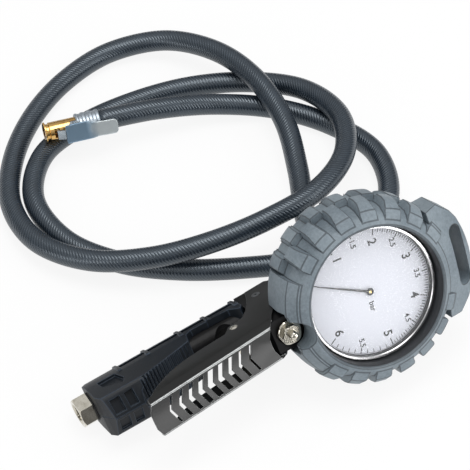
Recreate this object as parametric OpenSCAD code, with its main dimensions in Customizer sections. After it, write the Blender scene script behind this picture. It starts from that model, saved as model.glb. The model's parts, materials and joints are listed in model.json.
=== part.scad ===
// Hand-held tyre inflator: a die-cast handle with a squeeze lever, a dial gauge in a rubber boot,
// and a rubber hose with a clip-on chuck. It lies on its right-hand side, as it is put down after use.
// Build frame: x runs along the handle towards the gauge, y to the left, z out of the dial.
// The air line through the handle is y = 0, z = 0, and the gauge axis is x = 0, y = 0.

/* [Posture] */
// Lean of the dial away from facing straight up, in degrees
lean = 59; // [52:0.5:66]
// Rise of the handle line from the inlet to the gauge, in degrees
pitch = 7.7; // [6:0.1:9]

/* [Gauge] */
// Height of the dial face above the air line
dial_h = 47; // [46:0.5:50]
// Radius of the dial disc
dial_r = 38.2; // [37:0.1:40]
// Thickness of the dial disc
dial_t = 0.8; // [0.5:0.1:1.2]
// Wall of the steel case
case_wall = 1; // [0.8:0.1:1.6]
// Depth of the case behind the dial
case_depth = 26; // [24:0.5:28]
// Width of the bezel ring outside the case
bezel_w = 1.5; // [1.2:0.1:2.5]
// Thickness of the lens
lens_t = 1.5; // [1:0.1:2]
// Turn of the dial and boot against the handle line, in degrees
gauge_turn = -7.1; // [-12:0.1:12]
// Sweep of the pointer from zero to full scale, in degrees
dial_sweep = 297.5; // [240:0.5:300]
// Length of the pointer from its axis to its tip
pointer_len = 34; // [28:0.5:36]
// Width of the pointer at its hub
pointer_w = 2.2; // [1.6:0.1:3]

/* [Gauge movement] */
// Module of the gear teeth
gear_m = 0.6; // [0.5:0.05:0.7]
// Teeth on the pointer pinion
pinion_teeth = 10; // [10:1:12]
// Teeth that a full sector wheel would have
sector_full_teeth = 70; // [66:1:74]
// Teeth cut on the sector
sector_teeth = 13; // [12:1:16]
// Thickness of the sector gear
sector_t = 1.4; // [1:0.1:2]
// Radius of the pointer staff
staff_r = 0.8; // [0.6:0.05:1]
// Mean radius of the coiled pressure tube
bourdon_r = 31.5; // [31:0.1:33]
// Height of the pressure tube's flat section
bourdon_h = 9; // [7:0.5:10]
// Thickness of the pressure tube's flat section
bourdon_t = 3; // [2.4:0.1:3.4]
// Arc of the pressure tube, in degrees
bourdon_arc = 262; // [250:1:270]

/* [Boot] */
// Height of the boot's front lip above the dial face
boot_lip = 12.6; // [10:0.2:15]
// Depth of the boot behind the dial face
boot_back = 31; // [30:0.5:33]
// Radius of the boot between its lugs
boot_r = 51.2; // [49:0.1:52.5]
// Radius over the lugs
lug_r = 56; // [54:0.2:58]
// Lugs round each row
lug_count = 20; // [16:1:24]
// Share of the pitch that a lug takes at its foot
lug_share = 0.68; // [0.5:0.01:0.8]
// Plain stretch of the boot at the handle, half its angle in degrees
saddle_half = 37; // [34:1:44]
// Radius of the hanging loop's outer edge
loop_r = 67; // [65:0.2:72]
// Length of the slot in the hanging loop
loop_slot_len = 38; // [30:0.5:42]
// Width of the slot in the hanging loop
loop_slot_w = 8.4; // [7.5:0.1:9]

/* [Valve body] */
// Radius of the cast air tube
tube_r = 9; // [8.5:0.1:9.4]
// Distance from the gauge axis to the handle end
handle_len = 166.5; // [160:0.5:172]
// Half width of the head between the lever's cheeks
head_w = 11.4; // [10.5:0.1:11.6]
// Radius of the air bore
air_r = 3.4; // [2.5:0.1:3.6]
// Distance from the gauge axis to the valve plunger
valve_x = 79; // [78:0.2:80]
// Radius of the valve plunger
plunger_r = 3; // [2.6:0.1:3.2]
// Stroke of the valve plunger
plunger_stroke = 4.9; // [4.6:0.05:5]

/* [Grip] */
// Half width of the grip at its front
grip_w = 13; // [12.5:0.1:13.6]
// Half width of the grip at its back
grip_back_w = 9.5; // [9.2:0.1:11]
// Depth of the grip behind the air line
grip_back = 10.6; // [10.4:0.1:12]
// Height of the grip's end block above the air line
block_h = 24.5; // [22:0.5:26]
// Height of the ridge above the block's front corners
ridge_h = 5.5; // [3:0.5:6]
// Fins across the front of the grip
fin_count = 16; // [10:1:18]
// Gap between two fins
fin_gap = 1.1; // [0.8:0.1:1.3]
// Depth of the gaps between the fins
fin_depth = 2; // [1:0.1:2.5]

/* [Lever] */
// Sheet thickness of the lever
lever_t = 1.2; // [1:0.1:1.4]
// Slope of the lever's web away from the handle, in degrees
lever_slope = 7; // [6:0.1:8]
// Half width of the web
web_w = 10.6; // [9.5:0.1:11]
// Drop of the folded edge between the web and a cheek
fold_drop = 7; // [5:0.1:8]
// Slots through the web
slot_count = 9; // [5:1:10]
// Pitch of the slots
slot_pitch = 6.95; // [6.2:0.05:7.2]
// Width of the middle slot
slot_w_mid = 3.9; // [2:0.1:4.2]
// Width of the end slots
slot_w_end = 1.4; // [1:0.1:2]
// Radius of the lever's pivot pins
pivot_r = 2.5; // [2:0.1:2.8]

/* [Inlet] */
// Width across the flats of the inlet nut
nut_af = 17; // [16:0.5:18]
// Length of the inlet nut outside the handle
nut_len = 9.6; // [8:0.1:12]
// Radius of the inlet's G1/4 thread at its crests
inlet_r = 5.8; // [5.4:0.1:6]

/* [Deflate valve] */
// Radius of the cap's flange
bleed_flange_r = 7.5; // [6:0.1:7.8]
// Width across the flats of the cap's hexagon
bleed_af = 10.4; // [9:0.1:11]
// Radius of the deflate button
bleed_button_r = 2.6; // [2.2:0.1:2.8]
// Travel of the deflate button
bleed_travel = 1.5; // [1:0.1:1.6]

/* [Hose and chuck] */
// Outside diameter of the hose
hose_d = 13.5; // [12.5:0.1:13.7]
// Radius of the crimped ferrules
ferrule_r = 8.2; // [7.8:0.1:8.4]
// Length of the crimped ferrules
ferrule_len = 20; // [16:0.5:24]
// Length of the ferrule on the chuck
chuck_ferrule_len = 15.5; // [12:0.5:18]
// Radius of the chuck's brass barrel
chuck_r = 5.8; // [5.6:0.1:6.2]
// Length of the chuck's brass barrel
chuck_len = 20.5; // [18:0.5:26]
// Radius of the chuck's mouth, which goes over a valve stem
chuck_bore_r = 4.1; // [3.9:0.05:4.2]
// Width of the chuck's clip
clip_w = 13; // [12:0.5:14]
// Sheet thickness of the chuck's clip
clip_t = 1; // [0.8:0.1:1.2]

/* [Hidden] */
$fn = 96;
eps = 0.01;

// Clearances and fits
running = 0.05;      // radial gap of a pin or shaft that turns or slides in its hole
seat = 0.1;          // gap of a push-in seat within one body

// Gauge
case_r = dial_r + 0.3 + case_wall;
case_top = dial_h + 2.2;
case_back = case_top - case_depth;
bezel_r = case_r + bezel_w;
lens_top = case_top + lens_t;
bezel_top = lens_top + 0.6;
dial_back = dial_h - dial_t;
socket_h = 31;
socket_r = 6.4;
socket_in = 24;
socket_w = 8.2;
pointer_z = dial_h + 0.7;
pointer_t = 0.4;

// Movement
pinion_r = gear_m * pinion_teeth / 2;
sector_r = gear_m * sector_full_teeth / 2;
gear_gap = pinion_r + sector_r + 0.12;
tooth_foot = 1.4 * gear_m;
tooth_top = 0.65 * gear_m;
mesh_dir = 240;
sector_at = -gear_gap * [cos(mesh_dir), sin(mesh_dir)];
plate_t = 1.2;
front_plate_z = dial_back - plate_t;
back_plate_z = 35.5;
sector_z = 40;
tail_len = 6.5;
tail_dir = 150;
link_z = sector_z + sector_t + 0.1;
link_t = 0.8;
bourdon_z = back_plate_z - 1.2;
bourdon_start = 196;
tip_dir = bourdon_start + bourdon_arc;

// Boot
boot_in = bezel_r + seat;
lip_z = dial_h + boot_lip;
boot_z = dial_h - boot_back;
row_split = dial_h - 8.5;
lug_pitch = 360 / lug_count;
lug_foot = lug_pitch * lug_share / 2;
lug_top = lug_foot * 0.58;
lug_root = bezel_r + 3;
loop_front = dial_h;
loop_back = dial_h - 17;
slot_x = loop_r - 3.9 - loop_slot_w / 2;

// Head and valve
head_front = 41;
head_top = 42.6;
head_low = 62.5;
head_root = 38.6;
duct_x = 51.8;
tube_end = handle_len;
boss_top = 10.6;
boss_r = 7.4;
outlet_x = 50;
outlet_dir = 30;
outlet_face = 16;
outlet_thread_r = 6;
pivot_x = 52;
pivot_z = 4;
pivot_in = 5.6;
plug_r = 5.6;
chamber_r = 5;
valve_seat_z = 2;
throat_r = 4;
push_x = 77.5;
push_z = 27.3;
push_r = 2.5;
poppet_z = -2.4;
poppet_t = 2;
poppet_stem_r = 2.9;
spring_bore_r = 2.3;
spring_bore_top = 2;
plug_in = poppet_z - plunger_stroke - 1.3;
plunger_top = push_z - push_r - seat;
mushroom_r = 4.6;
mushroom_t = 2.8;

// Lever
cheek_out = grip_w;
cheek_in = cheek_out - lever_t;
web_top_x = 62.5;
web_top_z = 46.5;
web_len = 85;
web_dish = 1.5;
lever_depth = 62;
chevron = 3;
slot_first = 15;
slot_reach = 8.7;

// Inlet
nut_shank = 11;
nut_shank_r = 6.6;
thread_in = 2.2;
thread_relief = 0.6;
filter_r = 5;
filter_t = 1.8;
filter_at = thread_in + thread_relief;
washer_t = 1;

// Deflate valve
bleed_flange_t = 2.2;
bleed_hex_h = 3.6;
bleed_shank_r = 4.4;
bleed_shank = 4.5;
bleed_top = head_front + bleed_flange_t + bleed_hex_h;
bleed_proud = 4.2;
bleed_stem_r = 1.2;

// Hose end of the handle
tail_af = 15;
tail_hex = 6;
ferrule_at = outlet_face + tail_hex;
hose_at = ferrule_at + ferrule_len;

// Chuck, along its own axis from the hose end
lug_at = 17.5;
lug_half = 1.9;
clip_pin_y = 7.8;
clip_pin_r = 0.9;
clip_inner = 9.9;
clip_roll = 24;
mouth_depth = 9.2;
seal_t = 2.4;
seal_groove = 0.5;
seal_back = mouth_depth + seal_t + 0.4;

// Lift that brings the lowest edges of the boot and of the handle end down to z = 0
up = [sin(pitch), cos(pitch) * sin(lean), cos(pitch) * cos(lean)];
function rise(p) = up * p;
boot_edge = [-lug_r + 3.13, boot_z + 4];
low_boot = norm([up[0], up[1]]) * boot_edge[0] + up[2] * boot_edge[1];
low_grip = rise([-handle_len + 2, -grip_back_w, -grip_back]);
lift = -min(low_boot, low_grip);
shift = [55.5, 24.5];

// A point of the build frame in the standing frame
function turned(p) = [p[0], p[1] * cos(lean) - p[2] * sin(lean), p[1] * sin(lean) + p[2] * cos(lean)];
function pitched(p) = [p[0] * cos(pitch) - p[2] * sin(pitch), p[1], p[0] * sin(pitch) + p[2] * cos(pitch)];
function stood(p) = pitched(turned(p)) + [shift[0], shift[1], lift];

// Puts the build frame into the standing frame
module stand() {
    translate([shift[0], shift[1], lift]) rotate([lean, -pitch, 0]) children();
}

// A cylinder along x, y or z from one coordinate to another
module x_rod(x0, x1, r) {
    translate([min(x0, x1), 0, 0]) rotate([0, 90, 0]) cylinder(r = r, h = abs(x1 - x0));
}
module y_rod(y0, y1, r) {
    translate([0, max(y0, y1), 0]) rotate([90, 0, 0]) cylinder(r = r, h = abs(y1 - y0));
}
module z_rod(z0, z1, r) {
    translate([0, 0, min(z0, z1)]) cylinder(r = r, h = abs(z1 - z0));
}
// A six-sided bar along z, given across its flats
module hex_bar(z0, z1, af) {
    translate([0, 0, z0]) cylinder(r = af / sqrt(3), h = z1 - z0, $fn = 6);
}
// A hexagon with its corners turned off at one end, as a turned nut has
module hex_nut(z0, z1, af) {
    crown = af / sqrt(3);
    intersection() {
        hex_bar(z0, z1, af);
        rotate_extrude() polygon([[0, z0], [crown + eps, z0], [crown + eps, z1 - 1], [af / 2, z1],
            [0, z1]]);
    }
}
// Extrudes an outline drawn in x and z across the width, from y = -w to y = w
module across(w0, w1) {
    translate([0, w1, 0]) rotate([90, 0, 0]) linear_extrude(height = w1 - w0) children();
}
// Places a child that is built along z onto the outlet's axis
module on_outlet() {
    translate([-outlet_x, 0, 0]) rotate([0, 90 + outlet_dir, 0]) children();
}

// ---------- valve body ----------

// Section of the head in y and z, with bevels that clear the lever's folds
head_section = [[-head_w, -tube_r - 2], [head_w, -tube_r - 2], [head_w, head_front - 3.5],
    [head_w - 1.3, head_front + 1], [-head_w + 1.3, head_front + 1], [-head_w, head_front - 3.5]];

// Side outline of the head, in x and z
module head_outline() {
    polygon([[-head_low, -tube_r + 0.6], [-outlet_x + 4, -tube_r + 0.6], [-head_root, -1],
        [-head_root, boot_z - 1.2], [-head_top, boot_z - 1.2], [-head_top, head_front],
        [-61.5, head_front], [-63.5, head_front - 2],
        [-63.5, 26], [-head_low, 20]]);
}

module valve_body() {
    color("#26292d") stand() difference() {
        union() {
            x_rod(-tube_end, -head_low + 4, tube_r);
            intersection() {
                across(-head_w, head_w) head_outline();
                translate([-head_low - 5, 0, 0]) rotate([90, 0, 90]) linear_extrude(height = head_low)
                    polygon(head_section);
            }
            translate([-valve_x, 0, 0]) z_rod(-tube_r - 0.6, boss_top, boss_r);
            on_outlet() z_rod(0, outlet_face, 9);
        }
        x_rod(-tube_end - 1, -valve_x, air_r);
        x_rod(-tube_end - 1, -tube_end + nut_shank + 1, nut_shank_r + seat);
        translate([-valve_x, 0, 0]) {
            z_rod(-tube_r - 1, valve_seat_z, chamber_r + 0.2);
            z_rod(-tube_r - 1, plug_in, plug_r + seat);
            z_rod(0, 7, throat_r);
            z_rod(0, boss_top + 1, plunger_r + running);
            z_rod(8, 9.6, plunger_r + 1.1);
        }
        translate([0, 0, 5]) x_rod(-valve_x, -duct_x, 1.9);
        translate([-duct_x, 0, 0]) {
            z_rod(0, head_front + 1, 2.4);
            z_rod(head_front - bleed_shank - 0.4, head_front + 1, bleed_shank_r + seat);
        }
        translate([0, 0, socket_h]) {
            x_rod(-head_top + 1, -head_top - 5, socket_r + seat);
            x_rod(-head_top, -duct_x, 2.2);
        }
        x_rod(-duct_x - 1, -outlet_x, 2.4);
        on_outlet() {
            z_rod(0, outlet_face + 1, 2.6);
            z_rod(5.5, outlet_face + 1, outlet_thread_r);
        }
        for (side = [-1, 1]) translate([-pivot_x, 0, pivot_z])
            y_rod(side * pivot_in, side * (head_w + 1), pivot_r + seat);
    }
}

module valve_plunger() {
    disc_r = chamber_r - 0.3;
    color("silver") stand() translate([-valve_x, 0, 0]) rotate_extrude() polygon([[0, spring_bore_top],
        [spring_bore_r, spring_bore_top], [spring_bore_r, poppet_z], [disc_r, poppet_z],
        [disc_r, poppet_z + poppet_t], [poppet_stem_r, poppet_z + poppet_t], [poppet_stem_r, 3],
        [1.8, 4], [1.8, 6.4], [plunger_r, 7.2],
        [plunger_r, plunger_top - mushroom_t], [mushroom_r - 0.6, plunger_top - mushroom_t],
        [mushroom_r, plunger_top - mushroom_t + 0.6], [mushroom_r, plunger_top - 0.9],
        [mushroom_r - 0.9, plunger_top], [0, plunger_top]]);
}

module valve_seal() {
    color("#303030") stand() translate([-valve_x, 0, 0]) difference() {
        z_rod(poppet_z + poppet_t, valve_seat_z - running, chamber_r - 0.3);
        z_rod(-1, valve_seat_z + 1, poppet_stem_r);
    }
}

module stem_seal() {
    color("#303030") stand() translate([-valve_x, 0, 0]) difference() {
        z_rod(8.1, 9.5, plunger_r + 1);
        z_rod(7, 10, plunger_r + running);
    }
}

// Points on a helix that starts and ends in a flat ring, and the least gap between its turns
spring_turns = 4;
spring_wire = 0.3;
spring_side = 6;
spring_rings = 8;
spring_low = plug_in + 0.05;
spring_high = spring_bore_top - plunger_stroke - 0.1;
spring_r = spring_bore_r - spring_wire - 0.15;
spring_pitch = (spring_high - spring_low - 2 * spring_wire) / spring_turns;
echo(valve_spring_least_gap = spring_pitch - 2 * spring_wire);

// A wire swept round a helix of the given radius between two heights
module coil(r, wire, z0, z1, turns) {
    steps = turns * spring_rings;
    rise_all = z1 - z0 - 2 * wire;
    points = [for (i = [0:steps], k = [0:spring_side - 1])
        let (a = 360 * i / spring_rings, b = 360 * k / spring_side, h = z0 + wire + rise_all * i / steps)
        [(r + wire * cos(b)) * cos(a), (r + wire * cos(b)) * sin(a), h + wire * sin(b)]];
    walls = [for (i = [0:steps - 1], k = [0:spring_side - 1])
        let (a = i * spring_side + k, b = i * spring_side + (k + 1) % spring_side)
        each [[a, b, b + spring_side], [a, b + spring_side, a + spring_side]]];
    first = [for (k = [1:spring_side - 2]) [0, k + 1, k]];
    last_at = steps * spring_side;
    last = [for (k = [1:spring_side - 2]) [last_at, last_at + k, last_at + k + 1]];
    polyhedron(points = points, faces = [for (f = concat(walls, first, last)) [f[2], f[1], f[0]]]);
}

module valve_spring() {
    color("silver") stand() translate([-valve_x, 0, 0])
        coil(spring_r, spring_wire, spring_low, spring_high, spring_turns);
}

module valve_plug() {
    color("#8a8c90") stand() translate([-valve_x, 0, 0]) difference() {
        union() {
            z_rod(-tube_r - 0.6, plug_in, plug_r);
            z_rod(-grip_back + 0.2, -tube_r - 0.6, plug_r + 1);
        }
        translate([-plug_r - 2, -0.6, -grip_back]) cube([2 * plug_r + 4, 1.2, 1.2]);
    }
}

// ---------- grip ----------

// Outline of the grip across the handle, in y and z, grown outwards by g
function grip_section(g) = [[-grip_back_w - g, -grip_back - g], [grip_back_w + g, -grip_back - g],
    [grip_w - 0.6 + g, -2], [grip_w + g, 4], [grip_w + g, block_h - 1.2],
    [grip_w - 1.4, block_h + 0.4 + g],
    [0, block_h + ridge_h + g], [-grip_w + 1.4, block_h + 0.4 + g], [-grip_w - g, block_h - 1.2],
    [-grip_w - g, 4], [-grip_w + 0.6 - g, -2]];

block_x = handle_len - 25.5;
fin_end = 103;
fin_low = 13.6;
hollow_end = 63;
fin_slope = (block_h - fin_low) / (block_x - fin_end);
rib_x = [handle_len - 23, handle_len - 42, fin_end - 1, 84, 65];
rib_t = 2.4;
window_top = -1.2;
window_low = -8;

// Side outline of the grip, in x and z
module grip_outline() {
    polygon([[-handle_len, -grip_back + 4], [-handle_len + 3.5, -grip_back - 1],
        [-hollow_end, -grip_back - 1], [-hollow_end, 7], [-hollow_end - 2, 9.5],
        [-hollow_end - 4.5, 7], [-hollow_end - 8, 3.4],
        [-fin_end + 7, 2.6], [-fin_end + 3, 5], [-fin_end + 1, fin_low], [-block_x, block_h + 2.6],
        [-block_x - 2, block_h + ridge_h + 1], [-handle_len + 5, block_h + ridge_h + 1],
        [-handle_len + 2, block_h - 2], [-handle_len, block_h - 6]]);
}

// One gap between two fins, cut across the sloping front
module fin_cut(i) {
    fin_pitch = (block_x - fin_end - 2) / fin_count;
    x = -block_x + 1.4 + (i + 0.5) * fin_pitch;
    top = block_h + 2.6 - (x + block_x) * fin_slope;
    translate([x, 0, top - fin_depth]) translate([-fin_gap / 2, -grip_w - 1, 0])
        cube([fin_gap, 2 * grip_w + 2, 12]);
}

// A pocket sunk into one sloping face of the end block
module block_pocket(side, x0, x1, depth) {
    tilt = atan((ridge_h - 0.4) / (grip_w - 1.4));
    translate([0, 0, block_h + ridge_h]) rotate([-side * tilt, 0, 0])
        translate([x0, side > 0 ? 2.2 : -11.2, -depth]) cube([x1 - x0, 9, depth + 3]);
}

module grip_solid() {
    difference() {
        union() {
            intersection() {
                translate([-handle_len - 1, 0, 0]) rotate([90, 0, 90])
                    linear_extrude(height = handle_len) polygon(grip_section(0));
                across(-grip_w - 1, grip_w + 1) grip_outline();
            }
            for (x = rib_x) intersection() {
                translate([-x - rib_t / 2, 0, 0]) rotate([90, 0, 90])
                    linear_extrude(height = rib_t) polygon(grip_section(0.7));
                across(-grip_w - 2, grip_w + 2) polygon([[-x - 4, -grip_back - 2],
                    [-x + 4, -grip_back - 2],
                    [-x + 4, 3], [-x - 4, 3]]);
            }
        }
        x_rod(-handle_len - 1, 0, tube_r + seat);
        translate([-valve_x, 0, 0]) {
            z_rod(-grip_back - 2, 12, boss_r + seat);
        }
        for (i = [0:fin_count - 1]) fin_cut(i);
        for (side = [-1, 1], i = [0:len(rib_x) - 2]) {
            x0 = -rib_x[i] + rib_t / 2;
            x1 = -rib_x[i + 1] - rib_t / 2;
            translate([x0, side > 0 ? 4 : -grip_w - 3, window_low])
                cube([x1 - x0, grip_w - 1, window_top - window_low]);
        }
        for (x = [[6, 12.5], [15.5, 21]]) {
            block_pocket(1, x[0] - handle_len, x[1] - handle_len, 3);
            block_pocket(-1, x[0] - handle_len, x[1] - handle_len, 1.4);
        }
        for (side = [-1, 1]) translate([-handle_len, 0, 0])
            across(side > 0 ? grip_w - 2 : -grip_w - 2, side > 0 ? grip_w + 2 : -grip_w + 2)
                polygon([[7.5, 3], [19, 3], [21.5, 13], [19.5, 18], [8.5, 12]]);
    }
}

screw_x = [handle_len - 10.5, fin_end + 13];
screw_z = 14;

// The bores that a clamping screw needs in both halves
module screw_bores() {
    for (x = screw_x) translate([-x, 0, x == screw_x[0] ? screw_z + 1 : screw_z - 1.5]) {
        y_rod(-grip_w - 2, 8.2, 1.5);
        y_rod(-grip_w - 2, -8, 2.8);
    }
}

module grip_left() {
    color("#2d3238") stand() difference() {
        intersection() {
            grip_solid();
            translate([-handle_len - 2, 0, -20]) cube([handle_len, 30, 60]);
        }
        screw_bores();
    }
}

module grip_right() {
    color("#2d3238") stand() difference() {
        intersection() {
            grip_solid();
            translate([-handle_len - 2, -30, -20]) cube([handle_len, 30, 60]);
        }
        screw_bores();
    }
}

module grip_screws() {
    color("#5b5d60") stand() for (x = screw_x)
        translate([-x, 0, x == screw_x[0] ? screw_z + 1 : screw_z - 1.5]) {
            y_rod(-9, 8, 1.5 - seat);
            difference() {
                y_rod(-8 - 2, -8 - eps, 2.8 - seat);
                translate([-3, -11, -0.4]) cube([6, 2, 0.8]);
            }
        }
}

// ---------- inlet ----------

module inlet_nut() {
    color("#cfccbf") stand() difference() {
        union() {
            translate([-tube_end - washer_t, 0, 0]) rotate([0, -90, 0]) rotate([0, 0, 30])
                hex_nut(0, nut_len - washer_t, nut_af);
            x_rod(-tube_end - washer_t, -tube_end + nut_shank, nut_shank_r);
        }
        x_rod(-tube_end - nut_len - 1, -tube_end + thread_in, inlet_r);
        x_rod(-tube_end + thread_in, -tube_end + filter_at, inlet_r + 0.3);
        x_rod(-tube_end + filter_at - eps, -tube_end + filter_at + filter_t, filter_r);
        x_rod(-tube_end, -tube_end + nut_shank + 1, air_r);
        translate([-tube_end - nut_len - eps, 0, 0]) rotate([0, 90, 0])
            cylinder(r1 = inlet_r + 1, r2 = inlet_r, h = 1);
    }
}

module inlet_washer() {
    color("#2a2b2c") stand() difference() {
        x_rod(-tube_end - washer_t, -tube_end, tube_r - 0.4);
        x_rod(-tube_end - 2, -tube_end + 1, nut_shank_r + seat);
    }
}

module inlet_filter() {
    color("#b08d57") stand() difference() {
        x_rod(-tube_end + filter_at, -tube_end + filter_at + filter_t, filter_r - seat);
        for (a = [0:60:300]) rotate([a, 0, 0]) translate([0, 2.7, 0])
            x_rod(-tube_end + 1, -tube_end + 6, 0.8);
    }
}

// ---------- lever ----------

// Side outline of the lever, in x and z: the cheeks' edge, with an ear round the push pin, and the web
module lever_outline() {
    free_x = -web_top_x - web_len;
    free_z = web_top_z + web_len * tan(lever_slope);
    polygon([[-web_top_x, web_top_z + 1], [free_x, free_z + 1], [free_x, free_z - 3.6], [-141, 50],
            [-136, 45], [-130, 40.6], [-124, 37], [-118, 34.4], [-111, 32.6], [-104, 31.4],
            [-95, 30.6], [-84, 29.6],
            [-81.5, 26.5], [-80, 24.2], [-77.5, 23.2],
            [-73.5, 23.4], [-69, 21.5], [-64.5, 16], [-60.5, 9], [-58, 3], [-55.5, -5.6], [-42, -6.4],
            [-38.8, -3.6], [-39.2, 7], [-41, 11.5]]);
}

// One chevron slot in plan: its point looks towards the free end
module slot_plan(w) {
    polygon([[-w / 2, -slot_reach], [-w / 2 - chevron, 0], [-w / 2, slot_reach], [w / 2, slot_reach],
        [w / 2 - chevron, 0], [w / 2, -slot_reach]]);
}

function slot_w(i) = slot_w_mid - (slot_w_mid - slot_w_end) * abs(2 * i / (slot_count - 1) - 1);

module lever() {
    color("#3a3d3c") stand() difference() {
        intersection() {
            translate([-web_top_x, 0, web_top_z]) rotate([0, lever_slope, 0]) rotate([90, 0, -90])
                translate([0, 0, -40]) linear_extrude(height = web_len + 45) polygon([
                    [-cheek_out, -lever_depth], [-cheek_out, -fold_drop], [-web_w, 0], [0, -web_dish],
                    [web_w, 0], [cheek_out, -fold_drop], [cheek_out, -lever_depth],
                    [cheek_in, -lever_depth],
                    [cheek_in, -fold_drop - 0.2], [web_w - 0.9, -lever_t], [0, -web_dish - lever_t],
                    [-web_w + 0.9, -lever_t], [-cheek_in, -fold_drop - 0.2], [-cheek_in, -lever_depth]]);
            across(-cheek_out - 1, cheek_out + 1) lever_outline();
        }
        translate([-web_top_x, 0, web_top_z]) rotate([0, lever_slope, 0]) {
            for (i = [0:slot_count - 1]) translate([-slot_first - i * slot_pitch, 0, -4])
                linear_extrude(height = 8) slot_plan(slot_w(i));
            translate([0, 0, -5]) linear_extrude(height = 10) polygon([[-web_len - 12, -cheek_out - 1],
                [-web_len + chevron, -cheek_out - 1], [-web_len - 1, -4], [-web_len - 1, 4],
                [-web_len + chevron, cheek_out + 1], [-web_len - 12, cheek_out + 1]]);
            translate([0, 0, -5]) linear_extrude(height = 10)
                polygon([[8, -web_w - 3], [8, web_w + 3], [0, web_w], [-2.6, 4], [-2.6, -4], [0, -web_w]]);
        }
        translate([-pivot_x, 0, pivot_z]) y_rod(-cheek_out - 1, cheek_out + 1, pivot_r + running);
        translate([-push_x, 0, push_z]) y_rod(-cheek_out - 1, cheek_out + 1, push_r + eps);
    }
}

module lever_pivots() {
    color("#2f3134") stand() for (side = [-1, 1]) translate([-pivot_x, 0, pivot_z]) difference() {
        y_rod(side * (pivot_in + seat), side * (cheek_out + 0.1), pivot_r);
        y_rod(side * (cheek_out - 0.5), side * (cheek_out + 1), 0.7);
    }
}

module push_pin() {
    dome = cheek_out + 0.9;
    color("#d8d5ca") stand() translate([-push_x, 0, push_z]) rotate([90, 0, 0]) rotate_extrude() polygon([
        [0, -dome], [push_r - 1.2, -dome + 0.2], [push_r - 0.4, -dome + 0.6], [push_r, -cheek_out - 0.05],
        [push_r, cheek_out + 0.05], [push_r - 0.4, dome - 0.6], [push_r - 1.2, dome - 0.2], [0, dome]]);
}

// ---------- deflate valve ----------

module bleed_cap() {
    color("#c9c5b8") stand() translate([-duct_x, 0, 0]) difference() {
        union() {
            z_rod(head_front - bleed_shank, head_front, bleed_shank_r);
            rotate_extrude() polygon([[0, head_front], [bleed_flange_r, head_front],
                [bleed_flange_r, head_front + bleed_flange_t - 0.7],
                [bleed_flange_r - 0.7, head_front + bleed_flange_t], [0, head_front + bleed_flange_t]]);
            hex_nut(head_front + bleed_flange_t, bleed_top, bleed_af);
        }
        z_rod(head_front - bleed_shank + 2, bleed_top + 1, bleed_button_r + running);
        z_rod(head_front - bleed_shank - 1, head_front, bleed_stem_r + running);
    }
}

module bleed_button() {
    top = bleed_top + bleed_proud;
    color("#d8d5ca") stand() translate([-duct_x, 0, 0]) union() {
        z_rod(head_front - bleed_shank - 0.2, bleed_top - 2, bleed_stem_r);
        rotate_extrude() polygon([[0, bleed_top - 2.6], [bleed_button_r, bleed_top - 2.6],
            [bleed_button_r, top - 1.6], [bleed_button_r * 0.92, top - 0.9],
            [bleed_button_r * 0.7, top - 0.35], [bleed_button_r * 0.4, top - 0.08], [0, top]]);
    }
}

module bleed_spring() {
    color("silver") stand() translate([-duct_x, 0, 0])
        coil(1.95, 0.3, head_front - bleed_shank + 2.1, bleed_top - 2.7 - bleed_travel, 3);
}

module bleed_seal() {
    color("#303030") stand() translate([-duct_x, 0, 0])
        z_rod(head_front - bleed_shank - 1.4, head_front - bleed_shank - 0.2, 2.1);
}

// ---------- gauge ----------

module gauge_case() {
    corner = 3;
    color("#2a2c2f") stand() difference() {
        rotate_extrude() polygon([[0, case_back], [case_r - corner, case_back],
            [case_r, case_back + corner],
            [case_r, case_top], [case_r - case_wall, case_top],
            [case_r - case_wall, case_back + corner + 0.4],
            [case_r - corner - 0.4, case_back + case_wall], [0, case_back + case_wall]]);
        translate([0, 0, socket_h]) x_rod(-case_r - 2, -socket_in - 4, socket_r + seat);
    }
}

module gauge_bezel() {
    color("#c8cacc") stand() rotate_extrude() polygon([[case_r + running, dial_h - 3],
        [bezel_r, dial_h - 3],
        [bezel_r, bezel_top - 1.1], [bezel_r - 0.4, bezel_top - 0.4], [bezel_r - 1, bezel_top],
        [dial_r + 0.6, bezel_top], [dial_r + 0.1, bezel_top - 0.5], [dial_r + 0.1, lens_top],
        [case_r + running, lens_top]]);
}

module gauge_lens() {
    color("#dfe8ee", 0.3) stand() z_rod(case_top, lens_top, case_r);
}

module gauge_dial() {
    color("#e9eaf2") stand() difference() {
        z_rod(dial_back, dial_h, dial_r);
        z_rod(dial_back - 1, dial_h + 1, staff_r + 0.4);
    }
}

// Direction of the pointer at zero: the dial's upward line is turned by gauge_turn
pointer_zero = gauge_turn + dial_sweep / 2 + 4;

module gauge_pointer() {
    color("#1b1c1e") stand() rotate([0, 0, pointer_zero]) difference() {
        union() {
            translate([0, 0, pointer_z]) linear_extrude(height = pointer_t) polygon([[-8, -pointer_w / 2],
                [0, -pointer_w / 2], [pointer_len, -0.2], [pointer_len, 0.2], [0, pointer_w / 2],
                [-8, pointer_w / 2]]);
            z_rod(pointer_z - 0.4, pointer_z + 1.1, 1.9);
        }
        z_rod(pointer_z - 1, pointer_z + 0.7, staff_r + eps);
    }
}

// A gear outline; teeth are slim, so that the pair turns freely at every angle
module gear_plan(r, teeth, cut) {
    step = 360 / teeth;
    half_low = asin(tooth_foot / 2 / r);
    half_top = asin(tooth_top / 2 / r);
    root = r - 1.05 * gear_m;
    tip = r + 0.55 * gear_m;
    span = (cut - 1) / 2;
    tooth = [[root, -half_low], [tip, -half_top], [tip, half_top], [root, half_low]];
    polygon([for (i = [-span:span], p = tooth)
        [p[0] * cos(i * step + p[1]), p[0] * sin(i * step + p[1])]]);
}

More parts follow.
